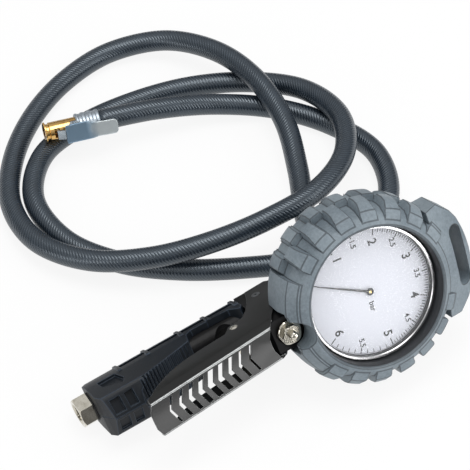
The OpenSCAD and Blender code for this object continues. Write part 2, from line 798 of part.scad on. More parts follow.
module pinion_staff() {
    turn = pointer_zero;
    color("#b9975b") stand() rotate([0, 0, turn]) union() {
        z_rod(back_plate_z + 0.2, pointer_z + 0.7, staff_r);
        translate([0, 0, sector_z - 1]) linear_extrude(height = sector_t + 2)
            union() {
                circle(r = pinion_r - gear_m * 0.8, $fn = 24);
                rotate([0, 0, mesh_dir - turn + 180 + 180 / pinion_teeth])
                    gear_plan(pinion_r, pinion_teeth, pinion_teeth);
            }
    }
}

module sector_gear() {
    teeth_half = sector_teeth * 180 / sector_full_teeth;
    root = sector_r - gear_m * 0.9;
    aim = mesh_dir - 4.5 * 360 / sector_full_teeth;
    color("#c2a166") stand() translate([sector_at[0], sector_at[1], sector_z]) union() {
        linear_extrude(height = sector_t) {
            difference() {
                intersection() {
                    circle(r = root);
                    rotate([0, 0, aim]) polygon([[-1, -1], [30 * cos(teeth_half), -30 * sin(teeth_half)],
                        [30 * cos(teeth_half), 30 * sin(teeth_half)], [-1, 1]]);
                }
                rotate([0, 0, aim])
                    polygon([[8, -1.6], [root - 3, -root * 0.35], [root - 3, root * 0.35], [8, 1.6]]);
            }
            rotate([0, 0, aim]) gear_plan(sector_r, sector_full_teeth, sector_teeth);
            circle(r = 2.6);
            rotate([0, 0, tail_dir]) translate([0, -1.3]) square([tail_len, 2.6]);
            rotate([0, 0, tail_dir]) translate([tail_len, 0]) circle(r = 1.5);
        }
        translate([0, 0, back_plate_z + 0.2 - sector_z])
            z_rod(0, front_plate_z + plate_t - 0.2 - back_plate_z - 0.2, 0.9);
        rotate([0, 0, tail_dir]) translate([tail_len, 0, 0]) z_rod(0, sector_t + link_t + 0.3, 0.6);
    }
}

// The link runs from the sector's tail to the tip of the pressure tube
function tail_at() = [sector_at[0] + tail_len * cos(tail_dir), sector_at[1] + tail_len * sin(tail_dir)];
tip_at = [(bourdon_r - 3.2) * cos(tip_dir), (bourdon_r - 3.2) * sin(tip_dir)];
link_vec = tip_at - tail_at();
link_dir = atan2(link_vec[1], link_vec[0]);
link_len = norm(link_vec);

module sector_link() {
    color("#b9975b") stand() translate([tail_at()[0], tail_at()[1], link_z]) rotate([0, 0, link_dir])
        linear_extrude(height = link_t) difference() {
            union() {
                circle(r = 1.5);
                translate([0, -0.8]) square([link_len - 1.6, 1.6]);
            }
            circle(r = 0.6 + running);
        }
}

module movement_holes() {
    circle(r = staff_r + running);
    translate(sector_at) circle(r = 0.9 + running);
}

module back_plate() {
    color("#c9a75f") stand() translate([0, 0,
        back_plate_z]) linear_extrude(height = plate_t) difference() {
        polygon([[-34, -6], [4, -6], [16, 10], [16, 24], [8, 24], [-6, 6], [-34, 6]]);
        movement_holes();
    }
}

module front_plate() {
    low = back_plate_z + plate_t;
    color("#c9a75f") stand() union() {
        translate([0, 0, front_plate_z]) linear_extrude(height = plate_t) difference() {
            polygon([[-10, -6], [5, -6], [18, 8], [18, 25], [8, 25], [-10, 4]]);
            movement_holes();
        }
        for (p = [[-8, -3.6],
            [15.8, 22.6]]) translate([p[0], p[1], 0]) z_rod(low, front_plate_z + eps, 1.2);
    }
}

module pressure_tube() {
    half = bourdon_h / 2 - bourdon_t / 2;
    color("#b5894a") stand() translate([0, 0, bourdon_z]) rotate([0, 0, bourdon_start])
        rotate_extrude(angle = bourdon_arc) difference() {
            translate([bourdon_r - bourdon_t / 2, -half]) square([bourdon_t, 2 * half]);
            translate([bourdon_r - bourdon_t / 2 + 0.4, -half]) square([bourdon_t - 0.8, 2 * half - 0.4]);
        }
}

module tube_tip() {
    color("#b9975b") stand() rotate([0, 0, tip_dir]) union() {
        translate([bourdon_r - 2.4, 0.02, bourdon_z - 3]) cube([4.6, 3, 6]);
        translate([bourdon_r - 3.4, 0.5, bourdon_z + 3]) cube([2, 2, link_z - bourdon_z - 3 + link_t]);
    }
}

module gauge_socket() {
    block_low = case_back + case_wall + 1;
    block_out = case_r - case_wall - 2.7;
    start = [bourdon_r * cos(bourdon_start), bourdon_r * sin(bourdon_start)];
    color("#b5894a") stand() difference() {
        union() {
            translate([-block_out, -socket_w, block_low])
                cube([block_out - socket_in, 2 * socket_w, back_plate_z - block_low]);
            translate([0, 0, socket_h]) x_rod(-head_top - 4.8, -case_r + case_wall + 3, socket_r);
        }
        translate([0, 0, socket_h]) x_rod(-head_top - 6, -31, 1.8);
        translate([start[0] + 1.5, 0, socket_h]) y_rod(-9, 1, 1);
    }
}

// ---------- boot ----------

// Angle between two directions; a lug that would fall in the saddle or under the hanging loop is left out
function apart(a, b) = abs((a - b + 540) % 360 - 180);
function lug_here(a) = apart(a + gauge_turn, 180) > saddle_half && apart(a, 0) > 17;

// Plan of one row of lugs, turned by a share of the pitch
module lug_plan(turn) {
    for (i = [0:lug_count - 1]) {
        a = (i + turn) * lug_pitch;
        if (lug_here(a)) polygon([
            [lug_root * cos(a - lug_foot), lug_root * sin(a - lug_foot)],
            [(boot_r - 1) * cos(a - lug_foot), (boot_r - 1) * sin(a - lug_foot)],
            [(lug_r + 1) * cos(a - lug_top), (lug_r + 1) * sin(a - lug_top)],
            [(lug_r + 1) * cos(a + lug_top), (lug_r + 1) * sin(a + lug_top)],
            [(boot_r - 1) * cos(a + lug_foot), (boot_r - 1) * sin(a + lug_foot)],
            [lug_root * cos(a + lug_foot), lug_root * sin(a + lug_foot)]]);
    }
}

// Half section of the boot's wall
module boot_section() {
    polygon([[31, boot_z], [boot_r - 4, boot_z], [boot_r - 1.2, boot_z + 1.6], [boot_r, boot_z + 5],
        [boot_r, dial_h - 3], [boot_r - 0.7, dial_h + 3], [boot_r - 2.4, dial_h + 7.4],
        [boot_r - 4.4, dial_h + 10], [bezel_r + 3.2, lip_z - 0.4], [bezel_r + 2, lip_z],
        [bezel_r + 1, lip_z - 0.5], [boot_in + 0.3, lip_z - 1.8], [boot_in, bezel_top + 0.6],
        [boot_in, dial_h - 3.2], [case_r + seat, dial_h - 4.6], [case_r + seat, case_back - 0.1],
        [31, case_back - 0.1]]);
}

// Half section of the space that the front lugs fill, and that the rear lugs fill
module front_lug_section() {
    polygon([[lug_root, row_split + 0.3], [lug_r, row_split + 0.3], [lug_r, dial_h - 2],
        [lug_r - 1, dial_h + 3.4], [lug_r - 4.4, dial_h + 8.6], [lug_root + 3, lip_z - 1.8],
        [lug_root, lip_z - 1.4]]);
}
module rear_lug_section() {
    polygon([[lug_root, boot_z + 1.4], [boot_r - 1, boot_z + 1.4], [lug_r - 2.4, boot_z + 4.6],
        [lug_r - 0.6, boot_z + 10], [lug_r, boot_z + 14], [lug_r, row_split - 0.3],
        [lug_root, row_split - 0.3]]);
}

// Plan of the hanging loop, drawn with its middle on +x
module loop_plan() {
    round_r = loop_slot_w / 2;
    reach = loop_slot_len / 2 - round_r;
    difference() {
        intersection() {
            circle(r = loop_r);
            polygon([[43, -34], [52, -35], [60, -27.5], [loop_r + 1, -14], [loop_r + 1, 14], [60, 27.5],
                [52, 35], [43, 34]]);
        }
        circle(r = lug_root);
        translate([slot_x - round_r, -reach]) square([loop_slot_w, 2 * reach]);
        for (side = [-1, 1]) translate([slot_x, side * reach]) circle(r = round_r);
    }
}

module rubber_boot() {
    notch_r = bleed_flange_r + 1.6;
    open_w = cheek_out + 0.6;
    color("#6f7a80") stand() difference() {
        rotate([0, 0, gauge_turn]) union() {
            rotate_extrude() boot_section();
            intersection() {
                translate([0, 0,
                    row_split + 0.3]) linear_extrude(height = lip_z - row_split) lug_plan(0.5);
                rotate_extrude() front_lug_section();
            }
            intersection() {
                translate([0, 0, boot_z]) linear_extrude(height = row_split - boot_z - 0.3) lug_plan(0);
                rotate_extrude() rear_lug_section();
            }
            rotate([0, 0, 180 - saddle_half - gauge_turn]) rotate_extrude(angle = 2 * saddle_half)
                polygon([[lug_root, boot_z + 2.5], [boot_r + 1, boot_z + 4.5], [lug_r - 1.6, boot_z + 10],
                    [lug_r - 1, row_split], [lug_r - 2.4, dial_h + 2], [boot_r - 2, dial_h + 8.4],
                    [lug_root, dial_h + 10]]);
            intersection() {
                translate([0, 0, loop_back]) linear_extrude(height = lip_z - loop_back) loop_plan();
                rotate_extrude() polygon([[40, loop_back], [loop_r - 1.5, loop_back],
                    [loop_r + 1, loop_back + 2], [loop_r + 1, loop_front - 2],
                    [loop_r - 1.5, loop_front], [lug_root + 2, dial_h + 10],
                    [40, dial_h + 10]]);
            }
        }
        translate([-80, -open_w, boot_z - 1])
            cube([80 - head_root + 1.2, 2 * open_w, head_front + 0.6 - boot_z + 1]);
        translate([-90, -grip_w + 1, head_front]) cube([90 - duct_x, 2 * grip_w - 2, 30]);
        translate([-duct_x, 0, head_front - 4]) z_rod(0, 40, notch_r);
        translate([-80, -open_w, head_front]) cube([80 - duct_x + 1, 2 * open_w, 6]);
    }
}

// ---------- hose end of the handle ----------

module hose_tail() {
    color("#c9c5b8") stand() on_outlet() difference() {
        union() {
            z_rod(6, outlet_face, outlet_thread_r - seat);
            hex_bar(outlet_face, ferrule_at, tail_af);
        }
        z_rod(5, ferrule_at + 1, 2.5);
    }
}

// A crimped sleeve along z: three shallow grooves pressed into it
module crimped(z0, length, r) {
    groove = length / 7;
    rotate_extrude() polygon([[2.5, z0], [r - 0.6, z0], [r, z0 + 0.6], [r, z0 + groove],
        [r - 0.5, z0 + groove + 0.5],
        [r - 0.5, z0 + 2 * groove], [r, z0 + 2 * groove + 0.5], [r, z0 + 3 * groove],
        [r - 0.5, z0 + 3 * groove + 0.5], [r - 0.5, z0 + 4 * groove], [r, z0 + 4 * groove + 0.5],
        [r, z0 + 5 * groove], [r - 0.5, z0 + 5 * groove + 0.5], [r - 0.5, z0 + 6 * groove],
        [r, z0 + 6 * groove + 0.5], [r, z0 + length - 0.6], [r - 0.6, z0 + length], [2.5, z0 + length]]);
}

module hose_ferrule() {
    color("#9ea3a8") stand() on_outlet() crimped(ferrule_at, ferrule_len, ferrule_r);
}

// ---------- hose ----------

// Middle of the hose over the floor, counted from the point under the dial's centre
route = [[7, 73, 21.5], [19, 100, 17.5], [35, 134, 16.5], [47, 170, 20], [49, 208, 22.5], [41, 245, 19.5],
    [20, 276, 13], [-14, 289, 8], [-51, 282, 7], [-84, 264, 7], [-112, 237, 7], [-130, 204, 8.5],
    [-131, 167, 12], [-112, 135, 16], [-81, 114, 21], [-46, 102, 26.5], [-8, 97, 31], [29, 101, 32],
    [61, 121, 28.5], [78, 154, 23], [74, 190, 15.5], [51, 219, 8.5], [17, 236, 7], [-21, 243, 7],
    [-59, 242, 7.5], [-94, 230, 9], [-116, 200, 9.5], [-114, 163, 7.5], [-94, 131, 7], [-65, 107, 7],
    [-31, 88, 7.5], [4, 75, 7], [42, 73, 7.5], [75, 91, 8.5], [88, 125, 8.5], [77, 162, 7],
    [54, 191, 7.5], [21, 210, 12], [-15, 220, 18.5]];
route_end = [-54, 228, 21.5];
chuck_heading = 166.5;
hose_sides = 10;
hose_steps = 2;
end_pull = 24;

dial_floor = [stood([0, 0, dial_h])[0], stood([0, 0, dial_h])[1], 0];
function outlet(s) = stood([-outlet_x + s * cos(outlet_dir), 0, -s * sin(outlet_dir)]);
chuck_dir = [cos(chuck_heading), sin(chuck_heading), 0];
hose_points = concat([outlet(hose_at - end_pull), outlet(hose_at + seat)],
    [for (p = route) dial_floor + p],
    [dial_floor + route_end, dial_floor + route_end + end_pull * chuck_dir]);

// A point between b and c on the smooth curve through a, b, c and d, spaced by the distances between them
function mixed(p, q, tp, tq, t) = (p * (tq - t) + q * (t - tp)) / (tq - tp);
function curve(a, b, c, d, f) = let (tb = norm(b - a), tc = tb + norm(c - b), td = tc + norm(d - c),
    t = tb + (tc - tb) * f, ab = mixed(a, b, 0, tb, t), bc = mixed(b, c, tb, tc, t),
    cd = mixed(c, d, tc, td, t))
    mixed(mixed(ab, bc, 0, tc, t), mixed(bc, cd, tb, td, t), tb, tc, t);
last_point = len(hose_points) - 2;
hose_line = [for (i = [1:last_point - 1], k = [0:hose_steps - 1])
    curve(hose_points[i - 1], hose_points[i], hose_points[i + 1], hose_points[i + 2], k / hose_steps),
    hose_points[last_point]];
hose_rings = len(hose_line);
hose_heading = [for (i = [0:hose_rings - 1]) i == 0 ? outlet(1) - outlet(0)
    : i == hose_rings - 1 ? chuck_dir : hose_line[i + 1] - hose_line[i - 1]];
hose_length = [for (i = 1, sum = 0; i <= hose_rings; sum = sum + (i < hose_rings
    ? norm(hose_line[i] - hose_line[i - 1]) : 0), i = i + 1) sum];
echo(hose_length = hose_length[hose_rings - 1]);

module hose() {
    points = [for (i = [0:hose_rings - 1], k = [0:hose_sides - 1])
        let (side = cross(hose_heading[i], [0, 0, 1]), rise = cross(side, hose_heading[i]),
            a = 360 * k / hose_sides)
        hose_line[i] + hose_d / 2 * (side / norm(side) * cos(a) + rise / norm(rise) * sin(a))];
    walls = [for (i = [0:hose_rings - 2], k = [0:hose_sides - 1])
        let (a = i * hose_sides + k, b = i * hose_sides + (k + 1) % hose_sides)
        each [[a, a + hose_sides, b], [b, a + hose_sides, b + hose_sides]]];
    last_at = (hose_rings - 1) * hose_sides;
    ends = [for (k = [1:hose_sides - 2]) each [[0, k, k + 1], [last_at, last_at + k + 1, last_at + k]]];
    color("#3c4048") polyhedron(points = points, faces = concat(walls, ends));
}

// ---------- chuck ----------

// Places the chuck: built along +x from the hose end to the mouth, with the clip on its +y side
module at_chuck() {
    translate(dial_floor + route_end) rotate([0, 0, chuck_heading]) rotate([clip_roll, 0, 0]) children();
}

chuck_end = chuck_ferrule_len + chuck_len;

module chuck_ferrule() {
    color("#9ea3a8") at_chuck() rotate([0, 90, 0])
        crimped(seat, chuck_ferrule_len - seat, hose_d / 2 + 0.85);
}

module chuck_body() {
    color("#c9a24a") at_chuck() difference() {
        union() {
            rotate([0, 90, 0]) rotate_extrude() polygon([[0, chuck_ferrule_len],
                [chuck_r, chuck_ferrule_len], [chuck_r, chuck_end - 3.4], [chuck_r - 0.7, chuck_end - 2.9],
                [chuck_r - 0.7, chuck_end - 1.4], [chuck_r + 0.7, chuck_end - 1],
                [chuck_r + 0.7, chuck_end - 0.3], [chuck_r + 0.3, chuck_end],
                [0, chuck_end]]);
            for (z0 = [3.6, -5.2]) translate([lug_at - lug_half, 0, z0])
                cube([2 * lug_half, clip_pin_y + 1.7, 1.6]);
        }
        x_rod(chuck_ferrule_len - 1, chuck_end + 1, 1.9);
        x_rod(chuck_end - mouth_depth, chuck_end + 1, chuck_bore_r);
        x_rod(chuck_end - seal_back, chuck_end - mouth_depth, chuck_bore_r + seal_groove);
        translate([lug_at, clip_pin_y, -8]) cylinder(r = clip_pin_r + eps, h = 16);
        translate([chuck_end - 9.4, 2, -3.2]) cube([3.4, chuck_r, 6.4]);
    }
}

module chuck_seal() {
    color("#303030") at_chuck() difference() {
        x_rod(chuck_end - seal_back, chuck_end - seal_back + seal_t, chuck_bore_r + seal_groove - seat);
        x_rod(chuck_end - seal_back - 1, chuck_end - mouth_depth, 1.9);
    }
}

module chuck_depressor() {
    color("#c9a24a") at_chuck() union() {
        x_rod(chuck_end - 18, chuck_end - mouth_depth - 0.5, 0.8);
        rotate([0, 90, 0]) translate([0, 0, chuck_end - 18]) for (a = [0, 60, 120]) rotate([0, 0, a])
            translate([-1.9 + seat, -0.4, 0]) cube([2 * (1.9 - seat), 0.8, 2]);
    }
}

module chuck_clip() {
    claw = chuck_end - 7.7;
    claw_y = chuck_bore_r - 0.15;
    half = clip_w / 2;
    color("#aeb4ba") at_chuck() difference() {
        union() {
            translate([0, 0, -half]) linear_extrude(height = clip_w) polygon([[claw - 4.6, clip_inner],
                [lug_at - 6, clip_inner], [-9, clip_inner + 3.6], [-9, clip_inner + 3.6 + clip_t],
                [lug_at - 6.2, clip_inner + clip_t], [claw - 4.6, clip_inner + clip_t]]);
            translate([0, 0, -2.9]) linear_extrude(height = 5.8) polygon([[claw - 4.7, clip_inner],
                [claw - 0.6, 8.2], [claw - 0.6, claw_y], [claw + 0.4, claw_y], [claw + 0.4, 8.9],
                [claw - 4.2, clip_inner + clip_t], [claw - 4.7, clip_inner + clip_t]]);
            for (side = [-1, 1]) translate([0, 0, side > 0 ? half - clip_t : -half])
                linear_extrude(height = clip_t) polygon([[lug_at - 3.6, clip_inner + eps],
                    [lug_at - 2.4, clip_pin_y - 1.4], [lug_at - 1, clip_pin_y - 2],
                    [lug_at + 1, clip_pin_y - 2], [lug_at + 2.4, clip_pin_y - 1.4],
                    [lug_at + 3.6, clip_inner + eps]]);
        }
        translate([lug_at, clip_pin_y, -10]) cylinder(r = clip_pin_r + running, h = 20);
        for (side = [-1, 1]) translate([-9, clip_inner, side * half]) rotate([0, 0, 10])
            translate([-1, -1, -0.7]) rotate([0, 7 * side, 0]) translate([0, 0, side > 0 ? 0 : -3])
                cube([20, 7, 3]);
    }
}

module chuck_clip_pin() {
    color("#9ea3a8") at_chuck() translate([lug_at, clip_pin_y, -clip_w / 2 - 0.3])
        cylinder(r = clip_pin_r, h = clip_w + 0.6);
}

module chuck_clip_spring() {
    color("silver") at_chuck() translate([lug_at, clip_pin_y, 0]) coil(1.5, 0.3, -3.2, 3.2, 3);
}

valve_body();
grip_left();
grip_right();
grip_screws();
inlet_nut();
inlet_washer();
inlet_filter();
valve_plunger();
valve_seal();
stem_seal();
valve_spring();
valve_plug();
lever();
lever_pivots();
push_pin();
bleed_cap();
bleed_button();
bleed_spring();
bleed_seal();
gauge_case();
gauge_bezel();
gauge_lens();
gauge_dial();
gauge_pointer();
pinion_staff();
sector_gear();
sector_link();
back_plate();
front_plate();
pressure_tube();
tube_tip();
gauge_socket();
rubber_boot();
hose_tail();
hose_ferrule();
hose();
chuck_ferrule();
chuck_body();
chuck_seal();
chuck_depressor();
chuck_clip();
chuck_clip_pin();
chuck_clip_spring();
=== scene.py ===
"""Looks of a hand-held tyre inflator: its printed dial, moulded boot, handle, lever, hose and chuck."""

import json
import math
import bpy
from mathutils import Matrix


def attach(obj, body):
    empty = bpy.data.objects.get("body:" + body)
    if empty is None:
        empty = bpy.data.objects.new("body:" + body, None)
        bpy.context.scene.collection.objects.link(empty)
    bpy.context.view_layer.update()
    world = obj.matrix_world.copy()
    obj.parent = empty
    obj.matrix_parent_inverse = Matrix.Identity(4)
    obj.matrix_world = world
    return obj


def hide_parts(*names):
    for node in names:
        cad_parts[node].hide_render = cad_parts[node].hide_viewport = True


bl_info = {
    "name": "Tyre Inflator Pieces",
    "version": (1, 0, 0),
    "blender": (4, 5, 0),
    "location": "View3D > Sidebar > Inflator",
    "description": "Dresses the tyre inflator: finishes, moulded edges, printed dial and wrapped hose",
    "category": "Object",
}

from contextlib import contextmanager

import bmesh
import bpy
import numpy as np
from bpy.props import FloatProperty, FloatVectorProperty, IntProperty, PointerProperty
from mathutils import Matrix, Vector

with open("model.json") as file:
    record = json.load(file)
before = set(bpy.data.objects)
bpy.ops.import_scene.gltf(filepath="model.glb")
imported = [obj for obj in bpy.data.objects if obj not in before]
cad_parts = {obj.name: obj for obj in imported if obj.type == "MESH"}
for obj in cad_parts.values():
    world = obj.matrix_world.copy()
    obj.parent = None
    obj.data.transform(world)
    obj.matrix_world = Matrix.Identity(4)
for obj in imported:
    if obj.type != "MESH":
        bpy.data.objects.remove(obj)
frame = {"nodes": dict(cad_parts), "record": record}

MM = 0.001


# ---------- places ----------
# Sizes and places are in mm, but the lamps' and the floor's are in metres. In the tool's own frame the
# gauge's axis is z, out of the dial, and the handle lies along -x. STAND and STAND_SHIFT lay the tool down on
# its side. DIAL_TURN turns the print in the gauge, and DIAL_FACE is how far out the dial lies.

def turn(axis, degrees):
    """Matrix that turns about x, y or z."""
    return np.array(Matrix.Rotation(math.radians(degrees), 3, axis))


STAND = turn("Y", -7.7) @ turn("X", 59.0)
STAND_SHIFT = np.array([55.5, 24.5, 35.52057])
DIAL_TURN = turn("Z", -7.1)
DIAL_FACE = 47.0


def stood(points):
    """Points of the tool's own frame, moved to where it lies on its side."""
    return np.asarray(points, float) @ STAND.T + STAND_SHIFT


def on_dial(points):
    """Points of the dial's frame (x to its top, y to its left, z out of it), moved to where it lies."""
    return stood(np.asarray(points, float) @ DIAL_TURN.T)


DIAL_FLOOR = stood([0, 0, DIAL_FACE]) * [1, 1, 0]


# ---------- meshes ----------

def show(mesh, name):
    """A new object that holds the mesh, at the origin."""
    piece = bpy.data.objects.new(name, mesh)
    bpy.context.scene.collection.objects.link(piece)
    return piece


@contextmanager
def edited(mesh):
    """The mesh as a bmesh, put back at the end."""
    work = bmesh.new()
    work.from_mesh(mesh)
    yield work
    work.to_mesh(mesh)
    work.free()


def grid_mesh(name, points, caps=True, uv=None):
    """Mesh over a grid of points, rings by places in the ring. Each cell is one four-sided face, the last
    place of a ring joins its first, and the first and last ring are closed by one face each where caps. The
    cells that close the rings run on past a whole turn in the UV map."""
    rings, places = points.shape[:2]
    here = np.arange(rings * places).reshape(rings, places)
    after = np.roll(here, -1, axis=1)
    quads = np.stack([here[:-1], after[:-1], after[1:], here[1:]], axis=-1).reshape(-1, 4)
    faces = quads.tolist()
    if caps:
        faces += [here[0, ::-1].tolist(), here[-1].tolist()]
    mesh = bpy.data.meshes.new(name)
    mesh.from_pydata((points.reshape(-1, 3) * MM).tolist(), [], faces)
    if uv is not None:
        corners = np.zeros(len(mesh.loops), dtype=np.int32)
        mesh.loops.foreach_get("vertex_index", corners)
        flat = uv.reshape(-1, 2)[corners]
        turns = flat[:quads.size, 1].reshape(-1, 4)
        closing = np.ptp(turns, axis=1)[:, None] > 0.5
        flat[:quads.size, 1] = np.where(closing & (turns < 0.5), turns + 1, turns).ravel()
        mesh.uv_layers.new(name="UVMap").data.foreach_set("uv", flat.ravel())
    mesh.shade_smooth()
    mesh.update()
    return mesh


def merged_copy(node):
    """A mesh that holds the CAD node's triangles with their corners joined."""
    mesh = frame["nodes"][node].data.copy()
    with edited(mesh) as work:
        bmesh.ops.remove_doubles(work, verts=work.verts, dist=2e-6)
        bmesh.ops.dissolve_limit(work, angle_limit=math.radians(0.8), verts=work.verts, edges=work.edges)
    return mesh


SHARP = 28


def eased(node, body, edge=0.25, angle=SHARP, held=False):
    """A copy of the CAD node, shown in its place, with every edge sharper than the angle broken by a rounding
    of edge mm. Where held, the rounding is no wider than its narrowest face has room for."""
    mesh = merged_copy(node)
    mesh.shade_smooth()
    piece = show(mesh, node + "_eased")
    rounding = piece.modifiers.new("Edges", "BEVEL")
    rounding.width = edge * MM
    rounding.segments = 2
    rounding.limit_method = "ANGLE"
    rounding.angle_limit = math.radians(angle)
    rounding.use_clamp_overlap = held
    shading = piece.modifiers.new("Shading", "WEIGHTED_NORMAL")
    shading.keep_sharp = False
    shading.weight = 80
    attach(piece, body)
    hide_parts(node)
    return piece


def paint_edge_light_and_shade(piece, material):
    """Gives the rounded edges of an eased piece a finish of their own, which paints light along them: a
    painted highlight where it is lighter than the rest, painted shade where darker.
    """
    piece.data.materials.append(material)
    piece.modifiers["Edges"].material = len(piece.data.materials) - 1


# ---------- shaders ----------

class Field:
    """A value that changes over a surface: one output of a material's nodes, which sums add Math nodes to."""

    def __init__(self, nodes, socket):
        self.nodes = nodes
        self.socket = socket

    def output(self, name):
        """Another output of the same node."""
        return Field(self.nodes, self.socket.node.outputs[name])

    def step(self, operation, *values):
        return self.nodes.add("ShaderNodeMath", *values, operation=operation)

    def __add__(self, other):
        return self.step("ADD", self, other)

    __radd__ = __add__

    def __sub__(self, other):
        return self.step("SUBTRACT", self, other)

    def __rsub__(self, other):
        return self.step("SUBTRACT", other, self)

    def __mul__(self, other):
        return self.step("MULTIPLY", self, other)

    __rmul__ = __mul__

    def most(self, other):
        return self.step("MAXIMUM", self, other)

    def sine(self):
        return self.step("SINE", self)

    def ramp(self, low, high, start=0.0, end=1.0):
        """start below low, end above high, and a smooth change between."""
        return self.nodes.add("ShaderNodeMapRange", self, low, high, start, end,
                              interpolation_type="SMOOTHSTEP")


class Nodes:
    """The nodes of a material or of the world."""

    def __init__(self, owner):
        owner.use_nodes = True
        self.tree = owner.node_tree
        self.tree.nodes.clear()

    def add(self, kind, *values, out=0, **settings):
        """One node with its settings, and the number, colour or field for each input in turn, where None
        leaves an input as it is. Gives the output of that number."""
        node = self.tree.nodes.new(kind)
        for key, value in settings.items():
            setattr(node, key, value)
        for i, value in enumerate(values):
            if isinstance(value, Field):
                self.tree.links.new(value.socket, node.inputs[i])
            elif value is not None:
                node.inputs[i].default_value = value
        return Field(self, node.outputs[out])

    def background_share(self):
        """Two fields: 1 on rays from the camera, on mirrored ones and on those that passed through glass, and
        1 on the mirrored ones alone."""
        direct = self.add("ShaderNodeLightPath")
        glossy, through = direct.output("Is Glossy Ray"), direct.output("Is Transmission Ray")
        return direct.most(glossy).most(through), glossy


class Finish(Nodes):
    """One material, with its Principled shader."""

    def __init__(self, name, **fixed):
        self.material = bpy.data.materials.new(name)
        super().__init__(self.material)
        self.output = self.tree.nodes.new("ShaderNodeOutputMaterial")
        self.shader = self.tree.nodes.new("ShaderNodeBsdfPrincipled")
        self.tree.links.new(self.shader.outputs[0], self.output.inputs["Surface"])
        for socket, value in fixed.items():
            self.feed(socket.replace("_", " "), value)

    def feed(self, socket, value):
        """Sets a socket of the Principled shader to a number or a colour, or links a field to it."""
        target = self.shader.inputs[socket]
        if isinstance(value, Field):
            self.tree.links.new(value.socket, target)
        elif isinstance(value, (tuple, list)):
            target.default_value = tuple(value) + ((1.0,) if len(value) == 3 else ())
        else:
            target.default_value = value

    def place(self):
        """Object coordinates: where on the piece, in metres, in the frame that the tool lies in."""
        return self.add("ShaderNodeTexCoord", out=3)

    def noise(self, size, detail=2.0, rough=0.5, where=None):
        """Cloudy noise from 0 to 1, whose largest clouds are size mm wide."""
        return self.add("ShaderNodeTexNoise", where or self.place(), None, 1 / (size * MM), detail, rough)

    def blend(self, share, first, second):
        """A colour from first, where share is 0, to second, where it is 1."""
        colours = [tuple(value) + (1.0,) for value in (first, second)]
        return self.add("ShaderNodeMix", share, None, None, None, None, None, *colours, out=2,
                        data_type="RGBA")

    def bump(self, height, depth, under=None):
        """A relief of the given depth in mm, over the relief that is under it."""
        made = self.add("ShaderNodeBump", 1.0, depth * MM, None, height, under)
        self.feed("Normal", made)
        return made


def linear(red, green, blue):
    """Linear colour of a screen colour from 0 to 255: the sRGB curve undone."""
    return tuple(value / 12.92 / 255 if value <= 10 else ((value / 255 + 0.055) / 1.055) ** 2.4
                 for value in (red, green, blue))


def scaled(colour, share):
    """The colour made darker or lighter."""
    return tuple(value * share for value in colour)


def moulded_rubber(name, dark, light, grain=0.5):
    """Matt moulded rubber: slow cloudiness of colour, a dull bloom, and a fine eroded grain."""
    finish = Finish(name, Specular_IOR_Level=0.45)
    clouds = finish.noise(26, 2, 0.5)
    bloom = finish.noise(1.6, 3, 0.6)
    share = (clouds * 0.6 + bloom * 0.4).ramp(0.2, 0.8)
    finish.feed("Base Color", finish.blend(share, dark, light))
    finish.feed("Roughness", bloom * 0.15 + 0.45)
    finish.bump(finish.noise(grain, 2, 0.6), 0.012)
    return finish.material


def grained_plastic(name, base, lift):
    """Injection-moulded plastic: a spark-eroded grain and faint flow marks."""
    finish = Finish(name, Specular_IOR_Level=0.25)
    flow = finish.noise(22, 2, 0.5)
    grain = finish.noise(0.45, 2, 0.5)
    finish.feed("Base Color", finish.blend(flow.ramp(0.3, 0.7), base, lift))
    finish.feed("Roughness", flow * 0.12 + grain * 0.1 + 0.34)
    coarse = finish.bump(finish.noise(1.4, 2, 0.5), 0.02)
    finish.bump(grain, 0.016, coarse)
    return finish.material


def powder_coat(name, base, lift, rough=0.3, gloss=0.3):
    """Baked paint on metal: an orange-peel skin over the base, a little duller in places."""
    finish = Finish(name, Specular_IOR_Level=gloss, Coat_Roughness=0.12)
    drift = finish.noise(18, 2, 0.5)
    finish.feed("Base Color", finish.blend(drift.ramp(0.35, 0.65), base, lift))
    finish.feed("Roughness", drift * 0.1 + rough)
    finish.feed("Coat Weight", drift * 0.1)
    finish.bump(finish.noise(0.9, 1, 0.4), 0.004)
    return finish.material


def bright_metal(name, base, tarnish, rough=0.1, marks=0.7):
    """Plated or turned metal: full reflection, fine marks that spread it a little, and a faint tarnish."""
    finish = Finish(name, Metallic=1.0)
    clouds = finish.noise(6, 3, 0.6)
    scratches = finish.noise(0.8, 3, 0.6)
    finish.feed("Base Color", finish.blend(clouds.ramp(0.4, 0.8), base, tarnish))
    finish.feed("Roughness", clouds * 0.06 + scratches * 0.04 + rough)
    finish.bump(finish.noise(marks, 2, 0.5), 0.0004)
    return finish.material


def printed(name, colour, rough=0.5):
    """Screen-printed ink with a slightly uneven surface."""
    finish = Finish(name)
    speckle = finish.noise(0.8, 3, 0.6)
    shade = tuple(min(1.0, value * 1.12 + 0.004) for value in colour)
    finish.feed("Base Color", finish.blend(speckle.ramp(0.35, 0.75), colour, shade))
    finish.feed("Roughness", speckle * 0.15 + rough)
    return finish.material


def clear_pane(name):
    """A thin clear pane, which nearly all light passes, with faint smears."""
    finish = Finish(name, Base_Color=(0.9, 0.93, 0.95), Specular_IOR_Level=0.5, Alpha=0.06)
    smear = finish.noise(26, 3, 0.5)
    finish.feed("Roughness", smear * 0.05 + 0.02)
    finish.material.surface_render_method = "BLENDED"
    return finish.material


MARKS_ROUND_HOSE = 14


